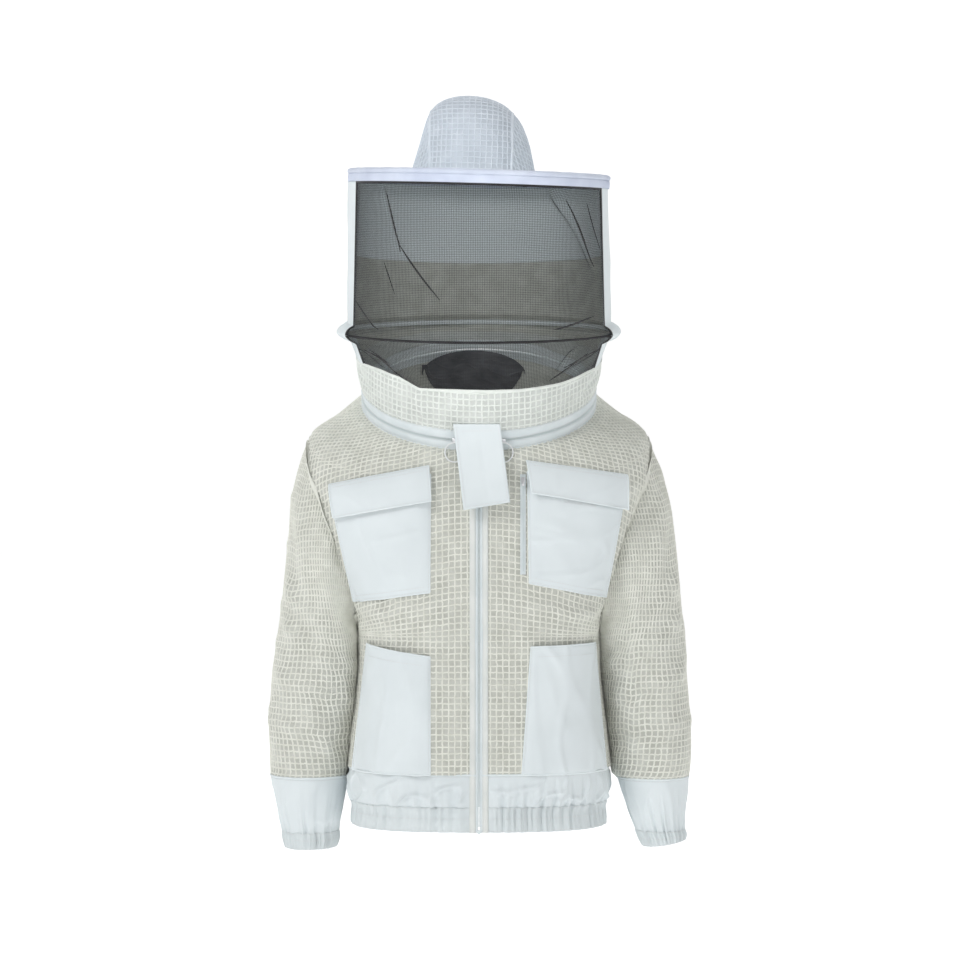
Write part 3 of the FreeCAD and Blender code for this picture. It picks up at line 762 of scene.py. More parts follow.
def outside_body(points, gap):
    """Points that lie inside the jacket body, moved straight out to its surface plus a gap."""
    flat = points.reshape(-1, 3).copy()
    gap = np.broadcast_to(gap, points.shape[:-1]).ravel()
    table = BODY_FINE[::-1]
    level = np.clip(flat[:, 2], table[0, 0], SHOULDER_LEVEL)
    wide, deep, front, back = (np.interp(level, table[:, 0], table[:, column]) for column in range(2, 6))
    power = np.where(flat[:, 1] < 0, front, back)
    value = (np.abs(flat[:, 0]) / (wide + gap)) ** power + (np.abs(flat[:, 1]) / (deep + gap)) ** power
    inside = (value < 1) & (flat[:, 2] < UNDERARM)
    flat[:, :2] *= np.where(inside, np.maximum(value, 1e-3) ** (-1 / power), 1.0)[:, None]
    return flat.reshape(points.shape)


def arm_rings(rows, count, columns):
    """Rings of a sleeve from its outer line, inner line and half depth, left side."""
    fine = catmull(rows, count)
    angle = np.linspace(-math.pi, math.pi, columns)
    outer = np.stack([fine[:, 0], np.zeros(count), fine[:, 1]], axis=1)
    inner = np.stack([fine[:, 2], np.zeros(count), fine[:, 3]], axis=1)
    centre, reach = (outer + inner) / 2, (outer - inner) / 2
    depth = np.stack([np.zeros(count), -fine[:, 4], np.zeros(count)], axis=1)
    points = (centre[:, None] + reach[:, None] * np.cos(angle)[:, None]
              + depth[:, None] * np.sin(angle)[:, None])
    points[..., 1] += SLEEVE_FORWARD
    return points, angle


def mirror(points, side):
    """Left-side points put on the side asked for."""
    return points * np.array([SIDES[side], 1, 1])


# Folds of the left sleeve, mirrored on the right: start, end, width and height.
ARM_FOLDS = (
    ((185, -60, -350), (285, -50, -270), 15, 8), ((185, -60, -392), (290, -55, -325), 12, 7),
    ((190, -60, -440), (295, -50, -400), 12, 6), ((300, -20, -470), (215, -70, -500), 12, 6),
    ((212, -75, -190), (222, -85, -330), 13, 6), ((262, -60, -150), (246, -80, -270), 15, 5),
    ((200, -70, -520), (280, -60, -475), 10, 5), ((200, 60, -380), (290, 40, -330), 18, 6),
    ((290, 40, -450), (205, 70, -490), 15, 5),
)
ARM_SEED = {"left": 31, "right": 57}
# Shares of the sleeve's length: where it leaves the armhole's shape, where it clears the body,
# and where its folds start and end.
LEAVES_LOOP = 0.22
CLEARS_BODY = 0.1
FOLDS_START, FOLDS_END = 0.12, 0.03
BODY_GAP = 2.5


def sleeve_patch(side):
    """Sleeve cloth from the armhole seam to the cuff."""
    count, columns = 190, 180
    points, angle = arm_rings(SLEEVE_ROWS[side], count, columns)
    share = np.linspace(0, 1, count)
    keep = np.clip(1 - share / LEAVES_LOOP, 0, 1) ** 2
    keep = (keep * (3 - 2 * keep))[:, None, None]
    points = arm_loop(angle)[None] * keep + points * (1 - keep)
    points = outside_body(points, (np.clip(share / CLEARS_BODY, 0, 1) * BODY_GAP)[:, None])
    patch = Patch(mirror(even_rows(points, columns), side), -SIDES[side])
    amount = crumple(patch.points, ARM_SEED[side], 2.4, 1.6) + folds(patch.points, ARM_FOLDS, SIDES[side])
    ease = np.clip(share / FOLDS_START, 0, 1) * np.clip((1 - share) / FOLDS_END, 0, 1)
    return patch.press(amount * ease[:, None])


def make_panel(name, patch, base_column, **yarns):
    """Ventilated mesh fabric: a ground cloth that stands for a CAD node, and its raised yarns."""
    ground = sheet_piece(name + "_cloth", patch, 3.0, "mesh")
    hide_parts(name)
    return ground, yarn_grid(name + "_yarns", patch, base_column=base_column, **yarns)


def make_body_panels():
    """Two fronts and the back, with seams along their edges."""
    patches = {side: body_press(Patch(body_panel(side), SIDES[side]), 3, False) for side in SIDES}
    patches["back"] = back = body_press(Patch(body_panel("back")), 5, True)
    for which, patch in patches.items():
        name = "back_panel" if which == "back" else "front_panel_" + which
        middle = patch.points.shape[1] // 2 if which == "back" else 0
        ground, yarns = make_panel(name, patch, middle, step=PITCH / 2.5)
        settle("jacket", "mesh_fabric", ground, yarns)
        declare(patch)
        neck = path_strip(name + "_neck_seam", *line_on(patch, (0, 0), (0, 1), 200), 6.0, 1.6, "cotton")
        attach(neck, "jacket")
    under = ((ARM_LOW - 6) - BODY_FINE[0, 0]) / (BODY_FINE[-1, 0] - BODY_FINE[0, 0])
    over = 3.0 / (len(BODY) - 1)
    for column, side in ((0, "left"), (1, "right")):
        for label, start, end, count in (("side", under, 1, 80), ("shoulder", 0, over, 60)):
            line = line_on(back, (start, column), (end, column), count)
            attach(path_strip("%s_seam_%s" % (label, side), *line, 6.0, 1.5, "yarn"), "jacket")
    return patches


def make_sleeves():
    """Sleeves in one piece each, shaped from the jacket body's armhole to the cuff."""
    for side, sign in SIDES.items():
        patch = sleeve_patch(side)
        ground, yarns = make_panel("sleeve_" + side, patch, patch.points.shape[1] // 2)
        underarm = path_strip("underarm_seam_" + side, *line_on(patch, (0, 0), (1, 0), 200), 6.0, 1.5, "yarn")
        loop = line_on(patch, (0.004, 0), (0.004, 1), 260, 0.6)
        seam = path_strip("armhole_seam_" + side, *loop, 11.0, 2.6, "yarn")
        for piece in (ground, yarns, underarm):
            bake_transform(piece)
        settle("jacket", "mesh_fabric", seam)
        declare(patch)


def gathered(points, angle_count, depth, seed):
    """Ruffle height of cloth gathered on elastic, for a grid whose columns run round."""
    draw = np.random.default_rng(seed)
    columns = points.shape[1]
    turn = np.linspace(0, 2 * math.pi, columns)
    warp = sum(draw.uniform(0.1, 0.35) / times * np.sin(times * turn + draw.uniform(0, 6.28))
               for times in (2, 3, 5, 8, 13))
    value = np.sin(angle_count * (turn + warp)) * 0.6
    value = value + np.sin(angle_count * 1.7 * (turn + warp) + 1.0) * 0.4
    return depth * value


# Seeds of the ruffle and the wrinkles of the cuffs, and of the ruffle at the wrists.
CUFF_SEEDS = {"left": (11, 5, 21), "right": (12, 6, 22)}


def make_cuffs():
    """Plain cotton cuffs, pulled into folds towards the gathered wrist elastic."""
    for side in SIDES:
        columns, cuff_rows, wrist_rows = 220, 60, 26
        ruffle_seed, wrinkle_seed, wrist_seed = CUFF_SEEDS[side]
        patch = Patch(mirror(arm_rings(CUFF_ROWS[side], cuff_rows, columns)[0], side), -SIDES[side])
        share = np.linspace(0, 1, cuff_rows)[:, None]
        ruffle = gathered(patch.points, 21, 3.2, ruffle_seed)[None]
        wrinkle = creases(patch.points, 70, wrinkle_seed, (1, 1, 0.7)) * 3.6
        patch.press(ruffle * share ** 1.6 + wrinkle * np.sqrt(share) * (1.1 - share))
        cuff = sheet_piece("cuff_%s_cloth" % side, patch, 1.2, "cotton")
        top = [line_on(patch, (0.035, 0), (0.035, 1), 400, 0.1)]
        stitches = stitch_piece("cuff_%s_stitches" % side, top)
        path = line_on(patch, (0, 0), (0, 1), 260, 0.4)
        edge = path_strip("cuff_%s_fold" % side, *path, 3.0, 1.6, "cotton")
        wrist = Patch(mirror(arm_rings(WRIST_ROWS[side], wrist_rows, columns)[0], side), -SIDES[side])
        share = np.linspace(0, 1, wrist_rows)[:, None]
        puff = 1.6 * np.sin(share * math.pi) ** 0.6
        fine = gathered(wrist.points, 47, 1.5, wrist_seed)[None]
        wrist.press(ruffle * (1 - 0.6 * share) + fine * np.sin(share * math.pi * 0.9 + 0.3) + puff)
        # The band's cloth is the white cotton darkened as painted shade.
        band = sheet_piece("wrist_elastic_%s_cloth" % side, wrist, 2.0, "gathered")
        lines = [line_on(wrist, (place, 0), (place, 1), 500, 0.1) for place in (0.06, 0.5, 0.94)]
        band_stitches = stitch_piece("wrist_elastic_%s_stitches" % side, lines)
        declare(patch)
        declare(wrist)
        settle("sleeve_" + side, "white_cotton", cuff, node="cuff_" + side)
        settle("sleeve_" + side, "gathered_cotton", band, node="wrist_elastic_" + side)
        settle("sleeve_" + side, None, stitches, edge, band_stitches)


def hem_ring(rows, count, columns):
    """Grid round the jacket below the panels, open at the front zip; rows as in BODY."""
    fine = catmull(rows, count)
    lines = np.empty((count, 600, 3))
    for number, row in enumerate(fine):
        start = math.acos((ZIP_HALF / row[2]) ** (row[4] / 2))
        angle = np.linspace(start, start - 2 * math.pi + 2 * (math.pi / 2 - start), 600)
        lines[number] = section_points(row, angle)
    return even_rows(lines, columns)


HEM_ROWS = (
    (-538, 0, 187, 155, 2.8, 2.2), (-560, 0, 188, 155, 2.8, 2.2), (-583, 0, 183, 153.5, 2.8, 2.2),
)
BAND_ROWS = (
    (-583, 0, 183, 153.5, 2.8, 2.2), (-592, 0, 179, 152, 2.8, 2.2), (-606, 0, 181, 153, 2.8, 2.2),
    (-618, 0, 184, 154, 2.8, 2.2),
)


def make_hem():
    """Plain hem panel and the gathered elastic band under it."""
    columns = 620
    hem = Patch(hem_ring(HEM_ROWS, 30, columns))
    share = np.linspace(0, 1, 30)[:, None]
    ruffle = gathered(hem.points, 46, 3.6, 41)
    quiet = np.clip((np.abs(hem.points[0, :, 0]) - 12) / 14, 0, 1)
    quiet = np.where(hem.points[0, :, 1] > 0, 1.0, quiet)
    wrinkle = creases(hem.points, 55, 43, (1, 1, 1.3)) * 4.6 * np.sin(share * 2.6)
    hem.press((ruffle * share ** 1.3 + wrinkle) * quiet)
    panel = sheet_piece("hem_panel_cloth", hem, 1.4, "cotton")
    band_patch = Patch(hem_ring(BAND_ROWS, 32, columns))
    rows = np.linspace(0, 1, 32)[:, None]
    fine = gathered(band_patch.points, 118, 2.2, 45)
    puff = 1.5 * np.sin(rows * math.pi) ** 0.7
    band_patch.press((ruffle * (1 - 0.5 * rows) + fine * np.sin(rows * math.pi * 0.8 + 0.5) + puff) * quiet)
    # The band's cloth is the white cotton darkened as painted shade.
    band = sheet_piece("hem_elastic_cloth", band_patch, 2.5, "gathered")
    lines = [line_on(hem, (0.05, 0), (0.05, 1), 900, 0.15)]
    lines += [line_on(band_patch, (place, 0), (place, 1), 1400, 0.15) for place in (0.06, 0.5, 0.93)]
    stitches = stitch_piece("hem_stitches", lines)
    edge = path_strip("hem_panel_fold", *line_on(hem, (0, 0), (0, 1), 500, 0.4), 3.5, 1.6, "cotton")
    declare(hem)
    declare(band_patch)
    settle("jacket", "white_cotton", panel, node="hem_panel")
    settle("jacket", "gathered_cotton", band, node="hem_elastic")
    settle("jacket", None, stitches, edge)


# ---------------------------------------------------------------- front zip

def front_strip(near, away, side, columns=5):
    """Upright strip on the middle of the front, from the neck to the hem's edge."""
    table = np.vstack([BODY_FINE, catmull(HEM_ROWS, 16)[1:], catmull(BAND_ROWS, 16)[1:]])
    lines = np.empty((len(table), columns, 3))
    for number, row in enumerate(table):
        x = np.linspace(near, away, columns)
        angle = np.arccos((x / row[2]) ** (row[4] / 2))
        lines[number] = section_points(row, angle)
    return Patch(mirror(lines, side), SIDES[side])


def studs(name, points, normals, reach, size, material, taper=0.75):
    """Field of small raised blocks: size is (along reach, across it, height)."""
    reach = unit(reach)
    run = unit(np.cross(normals, reach))
    corners = []
    for share, level in ((1.0, -0.3), (taper, size[2])):
        out, side = reach * size[0] * share / 2, run * size[1] * share / 2
        middle = points + normals * level
        corners += [middle - out - side, middle + out - side, middle + out + side, middle - out + side]
    return make_mesh(name, *boxes(corners), material, smooth=False)


def spaced(points, pitch, *grids):
    """Values of a path's points, and of grids beside them, every pitch along the path."""
    along = along_path(points)
    places = np.arange(pitch, along[-1] - pitch / 2, pitch)
    return [sample(places, along, grid) for grid in (points, *grids)]


def zip_teeth(name, points, normals, across, pitch, size):
    """Teeth of a zip along a path; each reaches across it."""
    middle, normal, reach = spaced(points, pitch, normals, across)
    return studs(name, middle, unit(normal), reach, size, "teeth")


def make_front_zip():
    """Facings, tapes, coil and stop of the front zip."""
    for side in SIDES:
        facing = front_strip(ZIP_HALF, FACING_EDGE + 1.5, side)
        bow = np.sin(np.linspace(0, math.pi, facing.points.shape[1])) ** 0.5 * 0.9 + 0.7
        ripple = waves(facing.points * (0.3, 0.3, 1), 60, 71) * 0.35
        facing.press(bow[None] + ripple)
        cloth = sheet_piece("front_facing_%s_cloth" % side, facing, 1.4, "facing")
        edges = [line_on(facing, (0, place), (1, place), 900, 0.1) for place in (0.78, 0.15)]
        stitches = stitch_piece("front_facing_%s_stitches" % side, edges)
        tape = front_strip(TEETH_HALF - 0.3, ZIP_HALF + 1.0, side, 4)
        tape.press(np.full(tape.points.shape[:2], 0.5))
        band = sheet_piece("front_zip_tape_%s_cloth" % side, tape, 1.0, "tape")
        declare(facing,
                turned_in=2.0)
        settle("jacket", "zip_tape", cloth, node="front_facing_" + side)
        settle("jacket", "zip_tape", band, node="front_zip_tape_" + side)
        settle("jacket", None, stitches)
    middle = front_strip(0.0, TEETH_HALF, "left", 3)
    points, normals = line_on(middle, (0.004, 0), (0.985, 0), 500, 0.2)
    across = np.tile([1.0, 0, 0], (len(points), 1))
    teeth = zip_teeth("front_zip_coil", points, normals, across, 1.6, (TEETH_HALF * 2, 1.15, 0.9))
    settle("jacket", "zip_teeth", teeth, node="front_zip_teeth")
    low, high = (np.array(corner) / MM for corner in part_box("front_zip_stop"))
    place = (0, -FRONT_LINE - 0.6, (low[2] + high[2]) / 2)
    stop = rounded_block("front_zip_stop_block", place, (4.6, 2.2, 6.0), 0.6, "teeth")
    settle("jacket", "zip_teeth", stop, node="front_zip_stop")


def rounded_block(name, centre, size, radius, material):
    """Block with rounded edges."""
    work = bmesh.new()
    bmesh.ops.create_cube(work, size=1.0)
    for corner in work.verts:
        corner.co = Vector([corner.co[axis] * size[axis] * MM for axis in range(3)])
    return bevelled(name, work, radius, 3, material, centre)


# ---------------------------------------------------------------- neck zip

# Width of each tape beside the zip, radius of its outer face, and the angles once round the neck.
NECK_TAPE = 14.0
NECK_OUT = NECK_RADIUS + 2.0
FULL_TURN = np.linspace(-math.pi, math.pi, 361)


def neck_band(low, high, bow, rows=8):
    """Grid round the neck ring between two heights on its axis, bowed outward."""
    height = np.linspace(high, low, rows)[:, None]
    share = np.linspace(0, math.pi, rows)[:, None]
    radius = NECK_OUT - 0.6 + bow * np.sin(share) + 0 * FULL_TURN[None]
    ripple = 0.25 * np.sin(FULL_TURN * 41) + 0.25 * np.sin(FULL_TURN * 29 + 1.0)
    return Patch(neck_point(FULL_TURN[None], radius + ripple * np.sin(share), height))


def make_neck_zip():
    """Tapes and coils of the zip that joins the hood to the jacket."""
    for body, low, high, sign in (("jacket", -NECK_TAPE, -1.2, -1.0), ("hood", 1.2, NECK_TAPE + 1.0, 1.0)):
        patch = neck_band(low, high, 0.9)
        tape = sheet_piece("neck_zip_tape_%s_cloth" % body, patch, 1.8, "tape")
        edge = 0.87 if body == "jacket" else 0.13
        lines = [line_on(patch, (place, 0), (place, 1), 1200, 0.1) for place in (edge, 1 - edge)]
        stitches = stitch_piece("neck_zip_%s_stitches" % body, lines)
        height = np.full(len(FULL_TURN), sign * 0.75)
        points = neck_point(FULL_TURN, np.full(len(FULL_TURN), NECK_OUT - 0.5), height)
        normals = unit(points - neck_point(FULL_TURN, np.full(len(FULL_TURN), 100.0), height))
        across = np.tile(neck_point(0.0, 0.0, 1.0), (len(points), 1))
        coil = zip_teeth("neck_zip_coil_%s_teeth" % body, points, normals, across, 1.5, (1.3, 0.95, 1.0))
        declare(patch)
        settle(body, "zip_tape", tape, node="neck_zip_tape_" + body)
        settle(body, "zip_teeth", coil, node="neck_zip_coil_" + body)
        settle(body, None, stitches)


def make_neck_painted_shade(back):
    """Near-black half-moon sheet inside the back of the neck, from the zip down: painted shade of the dim
    inside of the jacket seen through the neck opening.
    """
    columns, rows = 60, 40
    side = np.linspace(-math.pi / 2, math.pi / 2, columns)
    x = -8.0 + 77.0 * np.sin(side)
    top = 32.0 + 37.0 * np.cos(side)
    low = np.minimum(62.0 - 78.0 * np.cos(side), top - 1.0)
    share = np.linspace(0, 1, rows)[:, None]
    z = top[None] * (1 - share) + low[None] * share
    reach = np.sqrt(NECK_RADIUS ** 2 - x ** 2)
    drop = np.clip(reach * math.sin(NECK_TILT) - z, 0, NECK_TAPE * math.cos(NECK_TILT))
    wall = reach * math.cos(NECK_TILT) + drop * math.tan(NECK_TILT)
    tree = patch_tree(back)
    cloth = np.array([[ray_depth(tree, x[column], z[row, column], 40.0) for column in range(columns)]
                      for row in range(rows)])
    depth = np.where(np.isnan(cloth), wall, np.minimum(cloth, wall + 3.0)) - 6.5
    points = np.stack([x + 0 * z, smooth_grid(depth, 12), z], axis=-1)
    patch = Patch(points)
    fold_height = creases(points, 34, 91, (1, 1, 1.6)) * 7.0 + waves(points, 40, 93) * 2.0
    patch.press(fold_height * np.clip(np.sin(share * math.pi) * 2, 0, 1) * np.clip(np.cos(side) * 4, 0, 1))
    facing = sheet_piece("neck_painted_shade_cloth", patch, 0.8, "dark")
    declare(patch)
    settle("jacket", "dark_facing", facing, node="neck_facing")


def patch_tree(*patches):
    """Search tree of the surfaces of some patches, for casting rays at them."""
    points, faces = join_parts([(patch.points.reshape(-1, 3), grid_faces(*patch.points.shape[:2]))
                                for patch in patches])
    return BVHTree.FromPolygons([Vector(point) for point in points], faces.tolist())


def ray_depth(tree, x, z, start):
    """Where a ray along +Y from start meets a surface at x and z; not a number where it misses."""
    hit = tree.ray_cast(Vector((x, start, z)), Vector((0, 1, 0)))[0]
    return hit.y if hit else math.nan


def smooth_grid(grid, times):
    """A grid of numbers with its gaps filled from beside them, then evened out."""
    for row in grid:
        known = ~np.isnan(row)
        if known.any():
            row[:] = np.interp(np.arange(len(row)), np.flatnonzero(known), row[known])
    for _ in range(times):
        padded = np.pad(grid, 1, mode="edge")
        grid = (padded[:-2, 1:-1] + padded[2:, 1:-1] + padded[1:-1, :-2] + padded[1:-1, 2:] + 4 * grid) / 8
    return grid


# ---------------------------------------------------------------- pockets

# Corners (x, z) from the inner top corner, going outward and down; one list for each side.
CHEST_BAG = {
    "left": ((67.5, -114), (208, -133), (180, -291.5), (70.5, -270)),
    "right": ((-67.5, -118), (-211, -145), (-178, -298), (-68.5, -283)),
}
CHEST_FLAP = {
    "left": ((66, -99), (209, -119), (208, -167), (73, -144)),
    "right": ((-70, -106), (-211, -132), (-203, -179), (-67, -155)),
}
LOWER_BAG = {
    "left": ((72.5, -359), (165, -357), (181, -537.5), (60, -537.5)),
    "right": ((-68, -373), (-159, -358), (-180, -537.5), (-68, -537.5)),
}


def four_cornered(corners, rows, columns):
    """Grid of (x, z) inside four corners that go round it from its first row."""
    first_top, last_top, last_low, first_low = (np.array(corner, float) for corner in corners)
    down = np.linspace(0, 1, rows)[:, None, None]
    out = np.linspace(0, 1, columns)[None, :, None]
    top = first_top * (1 - out) + last_top * out
    return top * (1 - down) + (first_low * (1 - out) + last_low * out) * down


def sewn_on(tree, corners, rows, columns, lift):
    """Grid over a four-cornered outline, lying on the jacket and standing off it by lift[row, column]."""
    flat = four_cornered(corners, rows, columns)
    depth = np.array([[ray_depth(tree, x, z, -400.0) for x, z in line] for line in flat])
    known = smooth_grid(depth.copy(), 0)
    even = np.minimum(smooth_grid(known.copy(), 30), known)
    points = np.stack([flat[..., 0], smooth_grid(even, 3), flat[..., 1]], axis=-1)
    facing = 1.0 if corners[0][0] > 0 else -1.0
    return Patch(points, facing).press(lift)


# How square a filled pocket bulges: lower is fuller towards its edges.
POCKET_POWER = 0.45


def bulge(rows, columns, foot, high, open_top):
    """Height of a filled pocket: foot at its edges and foot plus high inside, also at an open top."""
    down = np.linspace(0, 1, rows)[:, None]
    out = np.linspace(0, 1, columns)[None]
    start = 0.5 * open_top
    middle = np.sin((start + (1 - start) * down) * math.pi) * np.sin(out * math.pi)
    return foot + high * middle ** POCKET_POWER


# A patch's four edges, each from and to a share (row, column).
EDGES = ((0, 0), (0, 1)), ((1, 0), (1, 1)), ((0, 0), (1, 0)), ((0, 1), (1, 1))


def make_pocket(name, body, patch, fold_width, lines):
    """Cotton patch that stands for the CAD node of its name, with turned edges and topstitching."""
    cloth = sheet_piece(name + "_cloth", patch, 1.2, "cotton")
    extras = [stitch_piece(name + "_stitches", lines)]
    for number, (start, end) in enumerate(EDGES):
        path = line_on(patch, start, end, 90, -0.25)
        extras.append(path_strip("%s_fold_%d" % (name, number), *path, fold_width, 0.8, "cotton"))
    settle(body, "white_cotton", cloth, node=name)
    settle(body, None, *extras)
    return cloth, extras


# Folds of the pockets on the wearer's left, mirrored on the right: start, end, width and height.
CHEST_FOLDS = (
    ((75, -160, -196), (190, -140, -222), 4, 1.6), ((130, -160, -214), (196, -120, -236), 3.5, 1.4),
)
LOWER_FOLDS = (((90, -160, -380), (140, -145, -520), 7, 2.0),)
# Seeds of the wrinkles of the chest pockets and the lower pockets, and the start of a flap's wave.
POCKET_SEEDS = {"left": (101, 111, 0), "right": (103, 113, 2)}


def away_from_sides(columns):
    """1 over the middle columns of a pocket, going to 0 at its sides."""
    return np.clip(np.sin(np.linspace(0, 1, columns) * math.pi)[None] * 3, 0, 1)


def make_chest_bag(tree, side):
    """Chest pocket and the loop strip that its flap closes on."""
    rows, columns = 56, 50
    bag = sewn_on(tree, CHEST_BAG[side], rows, columns, bulge(rows, columns, 1.6, 5.0, 0.7))
    wrinkle = creases(bag.points, 75, POCKET_SEEDS[side][0], (0.35, 1, 1.3)) * 2.0
    wrinkle = wrinkle + folds(bag.points, CHEST_FOLDS, SIDES[side])
    bag.press(wrinkle * away_from_sides(columns))
    lines = outline_on(bag, 2.2, 0.1, ("low", "left", "right")) + outline_on(bag, 8.5, 0.1, ("low",))
    cloth, extras = make_pocket("chest_pocket_" + side, "jacket", bag, 2.6, lines)
    declare(bag)
    place = np.meshgrid(np.linspace(7, 13, 8), np.linspace(18, 34, 30), indexing="ij")
    under = Patch(bag.at(*place, -0.3)[0], bag.facing)
    strip = pile_piece("chest_loop_strip_%s_pile" % side, under, 0.8)
    settle("jacket", "hook_loop", strip, node="chest_loop_strip_" + side)


def make_chest_flap(tree, side):
    """Flap that hangs over a chest pocket, standing out towards its free edge."""
    rows, columns = 30, 60
    down = np.linspace(0, 1, rows)[:, None]
    out = np.linspace(0, 1, columns)[None]
    lift = 3.5 + 9.0 * np.sin(down * math.pi / 2) ** 0.5
    wave_low = 1.1 * np.sin(out * 9 + POCKET_SEEDS[side][2]) + 0.8 * np.sin(out * 17 + 1)
    flap = sewn_on(tree, CHEST_FLAP[side], rows, columns, lift + wave_low * down ** 2)
    flap.press(creases(flap.points, 80, 107, (0.3, 1, 1.5)) * 0.8 * down * (1 - 0.3 * down))
    lines = outline_on(flap, 2.2, 0.1) + outline_on(flap, 7.5, 0.1, ("top",))
    name = "chest_flap_" + side
    cloth, extras = make_pocket(name, name, flap, 2.4, lines)
    declare(flap)


def make_lower_pocket(tree, side):
    """Open pocket on the lower front, from the side seam to the zip's facing."""
    rows, columns = 60, 40
    bag = sewn_on(tree, LOWER_BAG[side], rows, columns, bulge(rows, columns, 1.6, 6.0, 0.8))
    wrinkle = creases(bag.points, 80, POCKET_SEEDS[side][1], (1.2, 1, 0.6)) * 2.8
    wrinkle = wrinkle + folds(bag.points, LOWER_FOLDS, SIDES[side])
    bag.press(wrinkle * away_from_sides(columns))
    lines = outline_on(bag, 2.2, 0.1, ("left", "right")) + outline_on(bag, 14, 0.1, ("top",))
    cloth, extras = make_pocket("lower_pocket_" + side, "jacket", bag, 2.6, lines)
    declare(bag)


# Distance between the tufts of hook or loop pile.
PILE_PITCH = 1.5


def pile_piece(name, patch, high):
    """Hook or loop pile: a field of small tufts over a patch."""
    wide, long = patch.across[0, -1], patch.down[-1, 0]
    rows, columns = patch.points.shape[:2]
    row, column = np.meshgrid(np.linspace(0.3, rows - 1.3, int(long / PILE_PITCH)),
                              np.linspace(0.3, columns - 1.3, int(wide / PILE_PITCH)), indexing="ij")
    row = (row + rng.uniform(-0.1, 0.1, row.shape)).ravel()
    column = (column + rng.uniform(-0.1, 0.1, column.shape)).ravel()
    points, normals = patch.at(row, column)
    lean = unit(rng.normal(size=points.shape))
    size = (PILE_PITCH * 0.85, PILE_PITCH * 0.85, high)
    return studs(name, points, normals, np.cross(lean, normals), size, "loop", 0.3)


# ---------------------------------------------------------------- hood

# Middle of the hat along Y.
HAT_Y = -36.0
# Angles from the front at which the net and the side panels end.
NET_EDGE = math.radians(68)
SIDE_EDGE = math.radians(102)
# Level at which the back of the veil turns from mesh to plain cotton.
BACK_SPLIT = 200.0
# Rings that the hood hangs on: centre, tilt and roll in degrees, radius.
HOOP_RADIUS = 188.0
RINGS = {
    "collar": ((0, -13.5, 50), 16.3, 0.0, 176.0),
    "hoop": ((0, HAT_Y, 87), 7.4, 0.0, HOOP_RADIUS),
    "veil": ((-0.3, HAT_Y + 1.0, 299.05), 5.0, 1.6, 186.0),
}
# The hoop's wire lies this far outside the ring of the cloth that it carries.
HOOP_WIRE_OUT = 9.0


def turned(x, y, z, tilt, roll):
    """Points rolled about Y and then tilted about X, in degrees."""
    tilt, roll = math.radians(tilt), math.radians(roll)
    x, z = x * math.cos(roll) + z * math.sin(roll), z * math.cos(roll) - x * math.sin(roll)
    y, z = y * math.cos(tilt) - z * math.sin(tilt), y * math.sin(tilt) + z * math.cos(tilt)
    return np.stack(np.broadcast_arrays(x, y, z), axis=-1)


def ring_point(name, angle, grow=0.0, lift=0.0):
    """Point on one of the hood's rings; angle from the front towards the wearer's left."""
    centre, tilt, roll, radius = RINGS[name]
    radius = radius + grow
    return turned(radius * np.sin(angle), -radius * np.cos(angle), lift, tilt, roll) + np.array(centre)


def side_share(angle):
    """0 in the front net, 1 at the sides and the back, smooth between them."""
    away = np.abs((angle + math.pi) % (2 * math.pi) - math.pi)
    share = np.clip((away - NET_EDGE + 0.10) / 0.16, 0, 1)
    return share * share * (3 - 2 * share)


def flare(angle):
    """How far the cloth over the hoop stands out: a fin at the sides, nearly nothing in the net."""
    return 2.0 + 13.5 * side_share(angle)


def hoop_line(angle):
    """The veil at the hoop: in front it is pulled over the wire, at the sides it stays inside it."""
    return ring_point("hoop", angle, HOOP_WIRE_OUT * (1 - side_share(angle)))


def collar_line(angle):
    """The collar's top edge: level across the front and higher towards the wearer's right."""
    turn = np.degrees((angle + math.pi) % (2 * math.pi) - math.pi)
    lift = np.interp(turn, (-100, -75, -62, -52, -39, -28, -10, 0, 18, 39, 60, 80),
                     (0, 5, 8.7, 9, 5.8, -6, -4, -3.6, -5.2, -4, 1.5, 0))
    return ring_point("collar", angle, 0.0, lift)


def hood_wall(angle, share, end):
    """Points of the veil from the hoop (share 0) to the ring named end (share 1)."""
    angle, share = np.broadcast_arrays(angle, share)
    low = hoop_line(angle)
    high = collar_line(angle) if end == "collar" else ring_point(end, angle)
    points = low * (1 - share[..., None]) + high * share[..., None]
    length = np.linalg.norm(high - low, axis=-1)
    reach = np.minimum(13.0, 0.55 * length)
    round_off = np.clip(1 - (share * length / reach) ** 2, 0, 1) ** 0.7
    outward = np.stack([np.sin(angle), -np.cos(angle), 0 * angle], axis=-1)
    return points + outward * (flare(angle) * round_off)[..., None]


# Rows of the veil as shares of the way from the hoop to the brim, and from the hoop to the collar.
UPPER_SHARES = np.concatenate([np.linspace(1, 0.08, 58), np.linspace(0.07, 0, 9)])
LOWER_SHARES = np.concatenate([np.linspace(0, 0.25, 9), np.linspace(0.3, 1, 22)])


def threads(points, normals, valid, width, height):
    """Closed three-sided bars: points is [along, thread, 3]."""
    tangent = np.gradient(points, axis=0)
    side = unit(np.cross(normals, tangent)) * (width / 2)
    profile = np.stack([points - side, points + side, points + normals * height], axis=2)
    along, count, wide = profile.shape[:3]
    index = np.arange(along * count * wide).reshape(along, count, wide)
    index = np.concatenate([index, index[:, :, :1]], axis=2)
    both = valid[:-1] & valid[1:]
    quads = np.stack([index[:-1, :, :-1], index[:-1, :, 1:], index[1:, :, 1:], index[1:, :, :-1]], axis=-1)
    return profile.reshape(-1, 3), quads[both].reshape(-1, 4)


# Distance between the threads of the net, and their width.
NET_PITCH = 2.4
NET_THREAD = 0.45


